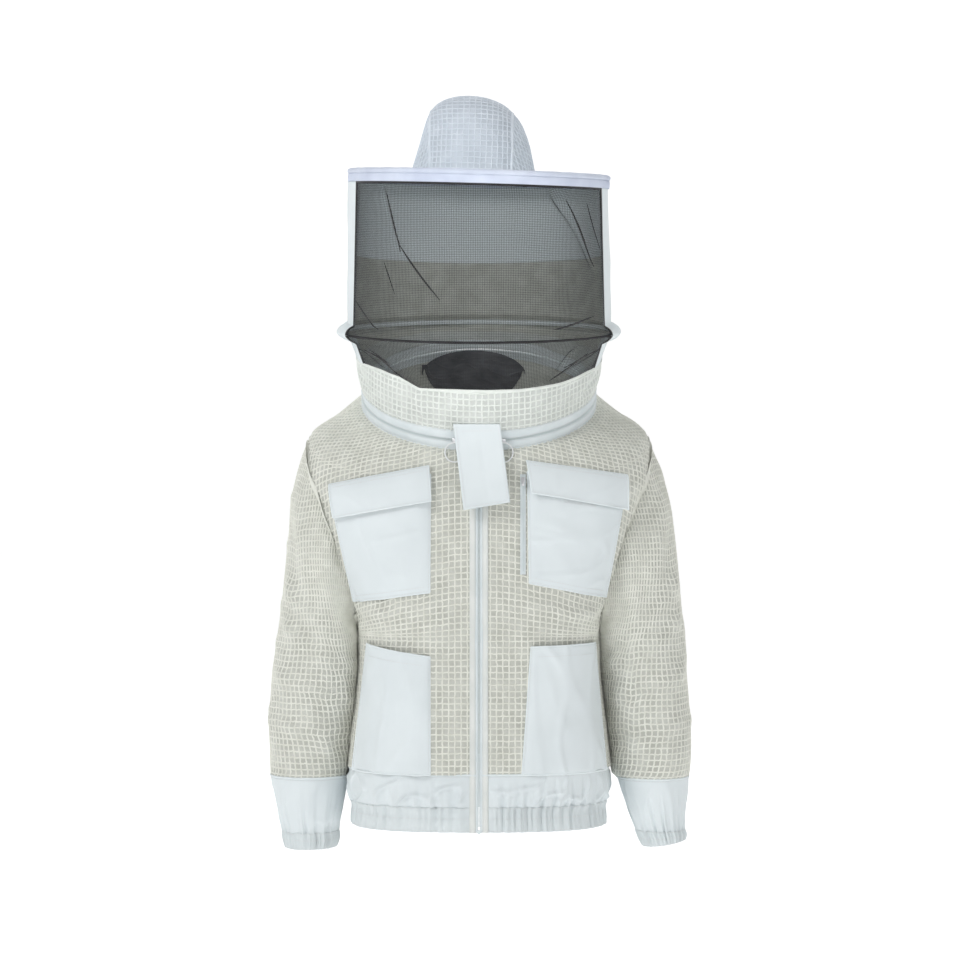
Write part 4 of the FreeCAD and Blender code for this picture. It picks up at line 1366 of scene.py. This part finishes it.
def make_net(name, node, patch):
    """Open black net: its two sets of threads on the patch."""
    net = yarn_grid(name, patch, "net", base_column=patch.points.shape[1] // 2, margin=0.5,
                    pitch=NET_PITCH, wide=NET_THREAD, high=0.4, step=3.1, wander=0.05, make=threads)
    settle("hood", "black_net", net, node=node)


# Folds of the nets: start, end, width and height.
UPPER_NET_FOLDS = (
    ((-131, -165, 276), (-113, -182, 200), 3.0, -9.0), ((-113, -182, 205), (-60, -212, 130), 5.0, -8.0),
    ((-60, -212, 134), (-20, -222, 96), 9.0, -3.0), ((104, -190, 268), (154, -140, 176), 5.5, -9.0),
    ((-160, -130, 150), (-100, -190, 105), 8.0, -3.5), ((158, -135, 150), (110, -185, 100), 8.0, -3.5),
    ((40, -218, 276), (62, -212, 200), 8.0, -2.5), ((-30, -220, 276), (-40, -218, 190), 9.0, -2.0),
)
LOWER_NET_FOLDS = (
    ((-176, -95, 62), (-140, -140, 22), 5.0, -5.0), ((-170, -105, 50), (-120, -150, 12), 4.0, -4.0),
    ((132, -165, 52), (106, -165, 14), 4.5, -5.0), ((172, -100, 60), (120, -150, 22), 6.0, -4.0),
    ((-150, -130, 58), (-118, -160, 20), 5.0, -3.0),
)
# Pinched folds of the nets: start, end and width.
UPPER_PLEATS = (
    ((-133, -175, 273), (-107, -185, 188), 3.4), ((-113, -182, 202), (-50, -212, 120), 2.8),
    ((120, -180, 262), (162, -135, 172), 3.6), ((-168, -120, 126), (-130, -165, 82), 2.6),
    ((155, -140, 104), (95, -195, 80), 2.8), ((-128, -170, 176), (-112, -185, 130), 1.6),
    ((150, -145, 262), (168, -120, 200), 2.2),
)
LOWER_PLEATS = (
    ((-165, -125, 54), (-115, -158, 10), 4.0), ((-150, -135, 60), (-122, -155, 14), 2.2),
    ((153, -135, 52), (104, -165, 8), 4.0), ((168, -120, 56), (118, -160, 28), 2.4),
)


def pleat(patch, start, end, wide):
    """Pinched fold of the net between the grid points nearest to two places: a strip that tapers out."""
    ends = []
    for place in (start, end):
        away = np.linalg.norm(patch.points - np.asarray(place, float), axis=-1)
        row, column = np.unravel_index(away.argmin(), away.shape)
        ends.append((row / (away.shape[0] - 1), column / (away.shape[1] - 1)))
    points, normals = line_on(patch, *ends, count=50, lift=0.4)
    width = wide * np.sin(np.linspace(0.05, math.pi - 0.05, 50)) ** 0.6
    return strips(points[:, None], normals[:, None], np.ones((50, 1), bool), width[:, None, None], 0.5)


def near_rings(shares, width):
    """1 between two rings of the hood, going to 0 over a share of the way at both."""
    return np.clip(np.minimum(1 - shares, shares) / width, 0, 1)[:, None]


def make_nets():
    """The front net above the hoop and the one below it, with their black seams."""
    columns = 150
    angle = np.linspace(-NET_EDGE, NET_EDGE, columns)[None]
    sides = np.clip(np.sin(np.linspace(0, math.pi, columns)) * 8, 0, 1)[None]
    upper = Patch(hood_wall(angle, UPPER_SHARES[:, None], "veil"))
    amount = waves(upper.points * (1, 1, 0.5), 110, 201) * 1.5 + folds(upper.points, UPPER_NET_FOLDS)
    upper.press(amount * near_rings(UPPER_SHARES, 0.06) * sides)
    lower = Patch(hood_wall(angle, LOWER_SHARES[:, None], "collar"))
    amount = waves(lower.points, 70, 205) * 1.6 + folds(lower.points, LOWER_NET_FOLDS)
    lower.press(amount * near_rings(LOWER_SHARES, 0.12) * sides)
    make_net("veil_net_front_threads", "veil_net_front", upper)
    make_net("veil_net_lower_threads", "veil_net_lower", lower)
    seams = []
    for label, patch in (("upper", upper), ("lower", lower)):
        for column, side in ((0, "right"), (1, "left")):
            path = line_on(patch, (0, column), (1, column), 90, -0.4)
            seams.append(path_strip("net_seam_%s_%s" % (label, side), *path, 6.5, 1.5, "net_edge"))
    for label, patch, row, width, height in (("top", upper, 0.01, 5.0, 0.9), ("foot", lower, 0.99, 4.0, 1.0)):
        path = line_on(patch, (row, 0), (row, 1), 200, -0.2)
        seams.append(path_strip("net_seam_" + label, *path, width, height, "net_edge"))
    pleats = [pleat(upper, *row) for row in UPPER_PLEATS] + [pleat(lower, *row) for row in LOWER_PLEATS]
    seams.append(make_mesh("net_pleats", *compact(*join_parts(pleats)), "net_edge"))
    arc = np.linspace(-NET_EDGE, NET_EDGE, 120)
    seams.append(tube("net_crease", ring_point("hoop", arc, HOOP_WIRE_OUT), 1.9, "net_edge", 8, closed=False))
    settle("hood", "black_net", *seams)


def split_share(angle):
    """Where the back's mesh meets its plain top, as a share of the way from the hoop to the brim."""
    low, high = hoop_line(angle)[..., 2], ring_point("veil", angle)[..., 2]
    return (BACK_SPLIT - low) / (high - low)


def hood_panel(start, end, columns, top=None):
    """Grid of a veil panel between two angles, from top (a share, or the brim) down to the collar."""
    angle = np.linspace(start, end, columns)[None]
    scale = np.ones_like(angle) if top is None else top(angle)
    upper = hood_wall(angle, UPPER_SHARES[:, None] * scale, "veil")
    return Patch(np.vstack([upper, hood_wall(angle, LOWER_SHARES[1:, None], "collar")]))


def make_veil_sides():
    """White side panels of the veil."""
    columns = 44
    calm = np.clip(np.sin(np.linspace(0, math.pi, columns)) * 4, 0, 1)[None]
    for side, sign in SIDES.items():
        patch = hood_panel(*sorted((sign * NET_EDGE, sign * SIDE_EDGE)), columns)
        wave = waves(patch.points * (1, 1, 0.4), 80, 211) * 1.2
        patch.press((wave + creases(patch.points, 70, 213, (1, 1, 0.6))) * calm)
        cloth = sheet_piece("veil_side_%s_cloth" % side, patch, 1.4, "cotton")
        lines = outline_on(patch, 3.0, 0.1, ("left", "right"))
        stitches = stitch_piece("veil_side_%s_stitches" % side, lines)
        declare(patch)
        settle("hood", "white_cotton", cloth, node="veil_side_" + side)
        settle("hood", None, stitches)


def make_veil_back():
    """The plain top of the veil's back, its ventilated lower part, and the hoop's casing."""
    start, end, columns = SIDE_EDGE, 2 * math.pi - SIDE_EDGE, 150
    lower = hood_panel(start, end, columns, split_share)
    lower.press(waves(lower.points * (1, 1, 0.6), 100, 221) * 1.4)
    cloth = sheet_piece("veil_back_lower_cloth", lower, 2.6, "mesh")
    yarns = yarn_grid("veil_back_lower_yarns", lower, base_column=columns // 2)
    declare(lower)
    settle("hood", "mesh_fabric", cloth, yarns, node="veil_back_lower")
    angle = np.linspace(start, end, columns)[None]
    share = np.linspace(1, 0, 40)[:, None]
    upper = Patch(hood_wall(angle, share + (1 - share) * split_share(angle), "veil"))
    upper.press(waves(upper.points * (1, 1, 0.5), 90, 223) * 1.4 + creases(upper.points, 80, 225) * 0.8)
    plain = sheet_piece("veil_back_upper_cloth", upper, 1.4, "cotton")
    declare(upper)
    settle("hood", "white_cotton", plain, node="veil_back_upper")
    path = line_on(upper, (0.985, 0), (0.985, 1), 260, 0.2)
    seams = [path_strip("veil_back_seam", *path, 7.0, 1.3, "cotton")]
    for column in (0, 1):
        path = line_on(lower, (0, column), (1, column), 120, 0.2)
        seams.append(path_strip("veil_side_seam_%d" % column, *path, 6.0, 1.3, "cotton"))
    stitches = stitch_piece("veil_back_stitches", [line_on(upper, (0.97, 0), (0.97, 1), 260, 0.3)])
    settle("hood", None, *seams, stitches)
    arc = np.linspace(NET_EDGE, 2 * math.pi - NET_EDGE, 300)
    path = ring_point("hoop", arc, HOOP_WIRE_OUT + 1.0)
    casing = tube("veil_hoop_casing_roll", path, 3.6, "cotton", 12, closed=False)
    settle("hood", None, casing, node="veil_hoop_casing")


# Folds of the collar and of the hat's crown: start, end, width and height.
COLLAR_FOLDS = (
    ((166, -55, 30), (150, -92, -4), 7.0, -5.0), ((-166, -52, 34), (-158, -78, 0), 8.0, -3.0),
    ((60, -175, -6), (84, -150, -50), 9.0, 2.5), ((-90, -160, 2), (-70, -150, -48), 9.0, 2.5),
)
CROWN_FOLDS = ((-60, -100, 390), (-66, -110, 330), 7, -2.2), ((62, -90, 395), (70, -100, 340), 8, -1.8)


def make_collar():
    """Ventilated collar between the neck zip and the hoop's skirt."""
    share = np.linspace(0, 1, 46)[:, None]
    top = collar_line(FULL_TURN) + unit(collar_line(FULL_TURN) * (1, 1, 0)) * 0.5
    foot = neck_point(FULL_TURN, np.full(len(FULL_TURN), NECK_OUT - 0.5), NECK_TAPE + 0.5)
    patch = Patch(top[None] * (1 - share[..., None]) + foot[None] * share[..., None])
    amount = 2.2 * np.sin(share * math.pi) + waves(patch.points * (1, 1, 0.5), 80, 231) * 1.3
    amount = amount + folds(patch.points, COLLAR_FOLDS)
    patch.press(amount * np.clip(np.minimum(share, 1 - share) / 0.08, 0, 1))
    cloth = sheet_piece("collar_panel_cloth", patch, 2.8, "collar")
    yarns = yarn_grid("collar_panel_yarns", patch, "collar_yarn", base_column=180)
    seam = path_strip("collar_top_seam", *line_on(patch, (0, 0), (0, 1), 360, 0.3), 5.0, 1.3, "collar_yarn")
    declare(patch)
    settle("hood", "mesh_fabric", cloth, yarns, seam, node="collar_panel")


# ---------------------------------------------------------------- hat

# Level of the brim's underside, the brim's thickness and its radius.
BRIM_LOW = 310.0
BRIM_TOP = 5.0
BRIM_RADIUS = 185.0
# How the hat leans forward and to the wearer's left, in degrees.
HAT_TILT = 5.0
HAT_ROLL = 1.6
# The crown stands beside the brim's middle and is deeper than it is wide.
CROWN_X = -8.0
CROWN_DEPTH_SHARE = 1.12
# Half width of the crown at the brim, of the brim's hole, and the number of rings of stitches.
CROWN_HALF = 88.5
HOLE_HALF = 86.0
BRIM_RINGS = 6
# Crown outline: height over the brim, half width, sideways place of its middle.
CROWN = ((0, CROWN_HALF, -8), (12, 85.5, -8), (26, 81.5, -8), (40, 78, -8), (55, 73.5, -8.5),
         (69, 68.5, -9.5), (79, 63.5, -11), (87, 58, -12.5), (94, 51.5, -13), (100, 43, -13.5),
         (104.5, 33, -13.5), (108, 20, -13.5), (109.3, 9, -14), (109.6, 0.4, -14))
CROWN_FINE = catmull(CROWN, 240)
# Sideways places of the seams beside the strip over the head.
CROWN_SEAMS = (-71.0, 46.0)


def hat_point(points):
    """Points on the hat's own axes, put on the leaning hat."""
    x, y, z = np.moveaxis(np.asarray(points, float), -1, 0)
    return turned(x, y, z, HAT_TILT, HAT_ROLL) + np.array([0, HAT_Y, BRIM_LOW])


def crown_level(level):
    """Half width of the crown and the sideways place of its middle, at a height over the brim."""
    height, half, middle = CROWN_FINE.T
    return np.interp(level, height, half), np.interp(level, height, middle)


def crown_arc(x, count=400):
    """Line over the crown from the front of the brim to its back, at one sideways place."""
    height, half, middle = CROWN_FINE.T
    room = half - np.abs(x - middle)
    top = np.interp(0.0, room[::-1], height[::-1])
    turn = np.linspace(0, math.pi, count)
    level = top * np.sin(turn)
    wide, centre = crown_level(level)
    inside = np.clip(1 - ((x - centre) / wide) ** 2, 0, 1)
    depth = wide * CROWN_DEPTH_SHARE * np.sqrt(inside) * np.where(turn < math.pi / 2, -1, 1)
    return np.stack([np.full(count, float(x)), depth, level + BRIM_TOP], axis=1)


def crown_side(low_x, sign):
    """Grid of the crown's side panel outside the seam at low_x."""
    height, half, middle = CROWN_FINE.T
    reach = middle + sign * half
    limit = np.interp(0.0, (sign * (reach - low_x))[::-1], height[::-1]) - 0.5
    levels = np.linspace(limit, 0, 70)
    lines = np.empty((len(levels), 300, 3))
    for number, level in enumerate(levels):
        wide, centre = crown_level(level)
        edge = math.acos(np.clip(sign * (low_x - centre) / wide, -1, 1))
        angle = np.linspace(-edge, edge, 300)
        lines[number, :, 0] = centre + sign * wide * np.cos(angle)
        lines[number, :, 1] = sign * wide * CROWN_DEPTH_SHARE * np.sin(angle)
        lines[number, :, 2] = level + BRIM_TOP
    return even_rows(lines, 110)


def crown_press(patch, seed):
    """Soft dents of a crown that holds its shape but is still cloth."""
    amount = waves(patch.points, 85, seed) + creases(patch.points, 90, seed + 1) * 0.6
    return patch.press(amount + folds(patch.points, CROWN_FOLDS))


def make_crown():
    """Centre strip over the head and two side panels in ventilated mesh, with bound seams."""
    low, high = CROWN_SEAMS
    lines = even_rows(np.array([crown_arc(x) for x in np.linspace(low, high, 60)]), 200)
    patches = {"center": Patch(hat_point(lines.transpose(1, 0, 2)), -1.0)}
    for side, seam in (("right", low), ("left", high)):
        patches[side] = Patch(hat_point(crown_side(seam, SIDES[side])), 1.0)
    for which, patch in patches.items():
        crown_press(patch, 241)
        name = "crown_" + which
        cloth = sheet_piece(name + "_cloth", patch, 2.6, "hat_mesh")
        middle = patch.points.shape[1] // 2
        yarns = yarn_grid(name + "_yarns", patch, "hat_yarn", base_row=0, base_column=middle,
                          pitch=8.4, wide=2.0, high=0.9)
        declare(patch)
        settle("hood", "hat_mesh", cloth, yarns, node=name)
    for column, side in ((0, "right"), (1, "left")):
        path = line_on(patches["center"], (0, column), (1, column), 220, 0.2)
        settle("hood", "hat_mesh", path_strip("crown_seam_" + side, *path, 5.0, 1.5, "hat_yarn"))


def brim_disc(level, seed, rows=44, columns=320):
    """Grid of the brim from the crown out to the binding."""
    angle = np.linspace(0, 2 * math.pi, columns)[None]
    share = np.linspace(0, 1, rows)[:, None]
    inner_x, inner_y = HOLE_HALF * np.cos(angle) + CROWN_X, HOLE_HALF * CROWN_DEPTH_SHARE * np.sin(angle)
    outer = BRIM_RADIUS - 1.0
    x = inner_x * (1 - share) + outer * np.cos(angle) * share
    y = inner_y * (1 - share) + outer * np.sin(angle) * share
    quilt = -0.55 * np.abs(np.cos(share * math.pi * BRIM_RINGS)) ** 12
    sway = waves(np.stack([x, y, 0 * x], axis=-1), 140, seed) * 0.25
    return hat_point(np.stack([x, y, level + (quilt + sway) * np.sign(level - BRIM_TOP / 2)], axis=-1))


def make_brim_covers():
    """Cotton covers of the brim with rings of stitching."""
    for node, level, facing in (("brim_top_cover", BRIM_TOP + 0.5, 1.0), ("brim_under_cover", -0.4, -1.0)):
        patch = Patch(brim_disc(level, 251), -facing)
        cloth = sheet_piece(node + "_cloth", patch, 0.9, "cotton")
        places = (np.arange(BRIM_RINGS) + 0.5) / BRIM_RINGS
        rings = [line_on(patch, (place, 0), (place, 1), 900, 0.05) for place in places]
        stitches = stitch_piece(node + "_stitches", rings)
        declare(patch)
        settle("hood", "white_cotton", cloth, node=node)
        settle("hood", None, stitches)


def make_brim_rim():
    """Rolled binding of the brim, header tape of the veil and sweatband of the hat."""
    angle = np.linspace(0, 2 * math.pi, 480, endpoint=False)
    x, y = BRIM_RADIUS * np.cos(angle), BRIM_RADIUS * np.sin(angle)
    rim = np.stack([x, y, 0 * angle + BRIM_TOP / 2], axis=-1)
    roll = 4.15 + 0.18 * np.sin(angle * 37) * np.sin(angle * 5)
    binding = tube("brim_binding_roll", hat_point(rim), roll, "binding", 16)
    settle("hood", "binding", binding, node="brim_binding")
    height = np.linspace(9.8, -1.6, 9)[:, None]
    swell = 1.4 + 0.5 * np.sin(np.linspace(0, math.pi, 9))[:, None]
    patch = Patch(ring_point("veil", FULL_TURN[None], swell, height))
    tape = sheet_piece("veil_header_tape_cloth", patch, 1.8, "binding")
    ribs = diagonal_ribs("veil_header_tape_ribs", patch)
    declare(patch)
    settle("hood", "binding", tape, node="veil_header_tape")
    settle("hood", None, ribs)
    down = np.linspace(0, 1, 14)[:, None]
    in_by = 5.5 + 7.0 * down
    x = (CROWN_HALF - in_by) * np.cos(FULL_TURN[None]) + CROWN_X
    y = (CROWN_HALF * CROWN_DEPTH_SHARE - in_by) * np.sin(FULL_TURN[None])
    patch = Patch(hat_point(np.stack(np.broadcast_arrays(x, y, 35.5 * down - 5.5), axis=-1)))
    band = sheet_piece("sweatband_cloth", patch, 1.6, "cotton")
    declare(patch)
    settle("hood", "white_cotton", band, node="sweatband")


def diagonal_ribs(name, patch, spacing=3.2):
    """Two crossing sets of slanting ribs over a long band of tape."""
    rows, columns = patch.points.shape[:2]
    around = patch.across[0, -1]
    count = int(around / spacing)
    share = np.linspace(0.06, 0.94, 6)[:, None]
    lean = patch.down[-1, 0] / around * (columns - 1)
    parts = []
    for slant in (1, -1):
        start = np.linspace(lean + 1, columns - 2 - lean, count)[None]
        column = start + slant * lean * (share - 0.5)
        points, normals = patch.at(share * (rows - 1) + 0 * column, column)
        parts.append(strips(points, normals, np.ones(column.shape, bool), 0.9, 0.35))
    return make_mesh(name, *compact(*join_parts(parts)), "binding")


# ---------------------------------------------------------------- tab, sliders and pulls

# Tab corners (x, z) from its top right corner as worn, going round; it leans forward as it drops.
TAB = ((-36, -48), (29.5, -48), (43.5, -157), (-21.5, -168))
TAB_FRONT = -168.4


def make_neck_tab():
    """Cotton tab over the ends of the neck zip, with hook pile on its back."""
    rows, columns = 60, 36
    down, out = np.meshgrid(np.linspace(0, 1, rows), np.linspace(0, 1, columns), indexing="ij")
    flat = four_cornered(TAB, rows, columns)
    depth = TAB_FRONT - 6.2 * down - 0.8 * np.sin(out * math.pi) * np.sin(down * math.pi)
    crease = 0.7 * np.exp(-((out - 0.55) / 0.06) ** 2) * np.sin(down * math.pi)
    wave = 0.5 * np.sin(out * 7 + 1) * down ** 2
    patch = Patch(np.stack([flat[..., 0], depth - wave + crease, flat[..., 1]], axis=-1))
    edge = np.minimum(np.minimum(out, 1 - out) * 65, (1 - down) * 116)
    patch.press(0.5 * np.exp(-((edge - 2.0) / 1.6) ** 2))
    tab = sheet_piece("neck_tab_cloth", patch, 2.0, "cotton")
    lines = outline_on(patch, 3.4, 0.1, ("low", "left", "right")) + outline_on(patch, 10, 0.1, ("top",))
    stitches = stitch_piece("neck_tab_stitches", lines)
    declare(patch)
    row, column = np.meshgrid(np.linspace(41, 56, 10), np.linspace(7, 28, 14), indexing="ij")
    back = Patch(patch.at(row, column, -2.1)[0], -1.0)
    hooks = pile_piece("tab_hook_patch_pile", back, 1.0)
    settle("neck_tab", "white_cotton", tab, node="neck_tab")
    settle("neck_tab", None, stitches)
    settle("neck_tab", "hook_loop", hooks, node="tab_hook_patch")


def plate(name, place, outline, thick, material, edge=0.5):
    """Flat part with rounded edges: outline is (right, up) points on the place's own axes."""
    origin, right, up, out = (np.asarray(value, float) for value in place)
    work = bmesh.new()
    low = [work.verts.new(Vector((origin + right * x + up * z) * MM)) for x, z in outline]
    face = work.faces.new(low)
    made = bmesh.ops.extrude_face_region(work, geom=[face])
    for item in made["geom"]:
        if isinstance(item, bmesh.types.BMVert):
            item.co += Vector(out * thick * MM)
    bmesh.ops.recalc_face_normals(work, faces=work.faces[:])
    return bevelled(name, work, edge, 2, material)


# Outline of a slider's shield, as shares of its width and length.
SLIDER_OUTLINE = ((-0.5, 0.5), (0.5, 0.5), (0.5, 0.1), (0.34, -0.2), (0.34, -0.5), (-0.34, -0.5),
                  (-0.34, -0.2), (-0.5, 0.1))


def make_slider(node, place, wide, long, deep):
    """Zip slider: its shield and the bridge that the pull hangs on."""
    origin, _, up, out = (np.asarray(value, float) for value in place)
    outline = [(x * wide, z * long) for x, z in SLIDER_OUTLINE]
    shield = plate(node + "_shield", place, outline, deep * 0.62, "metal")
    turn = np.linspace(0, math.pi, 14)
    rise = np.sin(turn) ** 0.6 * deep * 0.3 + deep * 0.5
    path = origin + up * (np.cos(turn) * long * 0.34)[:, None] + out * rise[:, None]
    bridge = tube(node + "_bridge", path, 0.65, "metal", 8, closed=False)
    settle(node, "pull_metal", shield, bridge, node=node)


# Right, up and out of a part that stands upright on the front.
UPRIGHT = (1, 0, 0), (0, 0, 1), (0, -1, 0)
# Radius of the wire of the front zip's pull.
PULL_WIRE = 0.7
# How far round from the front the sliders of the neck zip stand.
NECK_SLIDER_TURN = math.radians(10.8)


def corners_of(node):
    """Low and high corner of a CAD node in millimetres."""
    return (np.array(corner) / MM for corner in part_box(node))


def make_front_pull():
    """Slider of the front zip, and its pull: a wire loop round a grip."""
    low, high = corners_of("front_zip_slider")
    make_slider("front_zip_slider", ((0, high[1], (low[2] + high[2]) / 2), *UPRIGHT), 9.0, 15.0, 4.5)
    low, high = corners_of("front_zip_pull")
    half, drop = (high[0] - low[0]) / 2, high[2] - low[2]
    middle = (low + high) / 2
    turn = np.linspace(0, 2 * math.pi, 48, endpoint=False)
    stretch = (drop / 2 - half) * np.sign(np.sin(turn)) * np.abs(np.sin(turn)) ** 0.5
    across, up = np.cos(turn) * (half - 0.8), np.sin(turn) * (half - 0.8) + stretch
    loop = np.stack([across, 0 * turn + middle[1], middle[2] + up], axis=1)
    rim = tube("front_zip_pull_rim", loop, PULL_WIRE, "metal", 8)
    outline = [(-half + 1, 5), (half - 1, 5), (half - 1, -drop / 2 + 3), (-half + 1, -drop / 2 + 3)]
    place = (0, high[1] - 0.3, middle[2])
    grip = plate("front_zip_pull_grip", (place, *UPRIGHT), outline, 0.9, "metal", 0.3)
    settle("front_zip_pull", "pull_metal", rim, grip, node="front_zip_pull")


def make_other_sliders():
    """The pocket zip's slider, and the neck zip's two, each at its own place on the ring."""
    low, high = corners_of("pocket_zip_slider")
    middle = (low + high) / 2
    make_slider("pocket_zip_slider", ((middle[0], high[1], middle[2]), *UPRIGHT), 6.0, 12.0, 3.0)
    up = neck_point(0.0, 0.0, 1.0)
    for side, sign in SIDES.items():
        turn = sign * NECK_SLIDER_TURN
        out = unit(neck_point(turn, 200.0, 0.0) - neck_point(turn, 100.0, 0.0))
        place = (neck_point(turn, NECK_OUT + 0.6, 0.0), up, np.cross(out, up), out)
        make_slider("neck_slider_" + side, place, 8.0, 10.0, 4.0)


def make_pocket_zip(tree):
    """The short zip beside the chest pocket."""
    low, high = corners_of("pocket_zip_tape")
    corners = ((low[0], high[2]), (high[0], high[2]), (high[0], low[2]), (low[0], low[2]))
    patch = sewn_on(tree, corners, 60, 9, np.full((60, 9), 1.9))
    tape = sheet_piece("pocket_zip_tape_cloth", patch, 1.0, "tape")
    points, normals = line_on(patch, (0.02, 0.5), (0.98, 0.5), 200, 0.2)
    across = np.tile([1.0, 0, 0], (len(points), 1))
    coil = zip_teeth("pocket_zip_coil", points, normals, across, 1.4, (2.6, 0.95, 0.8))
    stitches = stitch_piece("pocket_zip_stitches", outline_on(patch, 1.0, 0.1))
    settle("jacket", "zip_tape", tape, coil, stitches, node="pocket_zip_tape")


# CAD nodes that stay, and their material.
KEPT_NODES = {
    "brim_core": "foam", "brim_wire": "metal", "veil_hoop_wire": "metal",
    "neck_ring_pull_left": "ring", "neck_ring_pull_right": "ring",
}


def dress(node, material):
    """Gives a CAD node that stays its own material."""
    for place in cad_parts[node].material_slots:
        place.material = MAT[material]


body_patches = make_body_panels()
make_sleeves()
make_cuffs()
make_hem()
make_front_zip()
make_neck_zip()
make_neck_painted_shade(body_patches["back"])
front_tree = patch_tree(body_patches["left"], body_patches["right"])
for pocket_side in SIDES:
    make_chest_bag(front_tree, pocket_side)
    make_chest_flap(front_tree, pocket_side)
for pocket_side in SIDES:
    make_lower_pocket(front_tree, pocket_side)
make_nets()
make_veil_sides()
make_veil_back()
make_collar()
make_crown()
make_brim_covers()
make_brim_rim()
make_neck_tab()
make_front_pull()
make_other_sliders()
make_pocket_zip(front_tree)
for kept_node, finish in KEPT_NODES.items():
    dress(kept_node, finish)


# ---------------------------------------------------------------- studio

CAMERA_PLACE = (0.00145, -4.0, -0.126)
CAMERA_LENS, CAMERA_SENSOR = 103.4, 36.0
# Floor and backdrop in one sweep: level of the floor, radius of the bend, distance and height of
# the wall, half width.
FLOOR, BEND, WALL, WALL_TOP, HALF_WIDE = -0.86, 2.0, 6.2, 9.0, 20.0
SWEEP_WHITE, SWEEP_GLOW = 0.92, 0.44
WORLD_STRENGTH = 0.36
LIT_PLACE, VEIL_PLACE = (0, 0, -0.12), (0, 0, 0.17)
# Area lights: name, place, side in metres, watts.
AREA_LIGHTS = (
    ("key_light", (-2.2, -2.6, 2.4), 1.6, 66.0),
    ("fill_light", (2.3, -2.7, 1.1), 2.6, 18.0),
    ("back_light", (0.6, 2.4, 2.2), 2.0, 30.0),
)


def add_camera():
    """Camera at the photograph's viewpoint."""
    camera = bpy.data.objects.new("camera", bpy.data.cameras.new("camera"))
    bpy.context.scene.collection.objects.link(camera)
    camera.location = CAMERA_PLACE
    camera.rotation_euler = (math.pi / 2, 0, 0)
    camera.data.lens = CAMERA_LENS
    camera.data.sensor_width = CAMERA_SENSOR
    bpy.context.scene.camera = camera


def add_sweep():
    """White floor that bends up into a backdrop, faintly glowing so that it stays white."""
    white = bpy.data.materials.new("studio_white")
    white.use_nodes = True
    shader = white.node_tree.nodes["Principled BSDF"]
    shader.inputs["Base Color"].default_value = (SWEEP_WHITE, SWEEP_WHITE, SWEEP_WHITE, 1)
    shader.inputs["Roughness"].default_value = 1.0
    shader.inputs["Emission Color"].default_value = (1, 1, 1, 1)
    shader.inputs["Emission Strength"].default_value = SWEEP_GLOW
    profile = [(-HALF_WIDE, FLOOR)]
    for turn in np.linspace(0, math.pi / 2, 24):
        profile.append((WALL - BEND * (1 - math.sin(turn)), FLOOR + BEND * (1 - math.cos(turn))))
    profile.append((WALL, WALL_TOP))
    points = [(x, y, z) for y, z in profile for x in (-HALF_WIDE, HALF_WIDE)]
    faces = [(2 * i, 2 * i + 1, 2 * i + 3, 2 * i + 2) for i in range(len(profile) - 1)]
    mesh = bpy.data.meshes.new("studio_sweep")
    mesh.from_pydata(points, [], faces)
    mesh.polygons.foreach_set("use_smooth", [True] * len(mesh.polygons))
    mesh.materials.append(white)
    sweep = bpy.data.objects.new("studio_sweep", mesh)
    bpy.context.scene.collection.objects.link(sweep)


def add_light(name, kind, place, target, power, **settings):
    """Light that shines at a target; the settings are Blender's own names for its data."""
    data = bpy.data.lights.new(name, kind)
    data.energy = power
    for setting, value in settings.items():
        setattr(data, setting, value)
    light = bpy.data.objects.new(name, data)
    light.location = place
    light.rotation_euler = (Vector(target) - Vector(place)).to_track_quat("-Z", "Y").to_euler()
    bpy.context.scene.collection.objects.link(light)


def make_studio():
    """Camera, soft lights, a spot on the veil, and a white world."""
    add_camera()
    add_sweep()
    world = bpy.data.worlds.new("studio_world")
    bpy.context.scene.world = world
    world.use_nodes = True
    world.node_tree.nodes["Background"].inputs["Color"].default_value = (1, 1, 1, 1)
    world.node_tree.nodes["Background"].inputs["Strength"].default_value = WORLD_STRENGTH
    add_light("veil_light", "SPOT", (0, -3.4, 0.12), VEIL_PLACE, 165.0,
              spot_size=math.radians(7.4), spot_blend=0.35, shadow_soft_size=0.12)
    for name, place, across, power in AREA_LIGHTS:
        add_light(name, "AREA", place, LIT_PLACE, power, size=across)
    bpy.context.scene.view_settings.view_transform = "Standard"


make_studio()
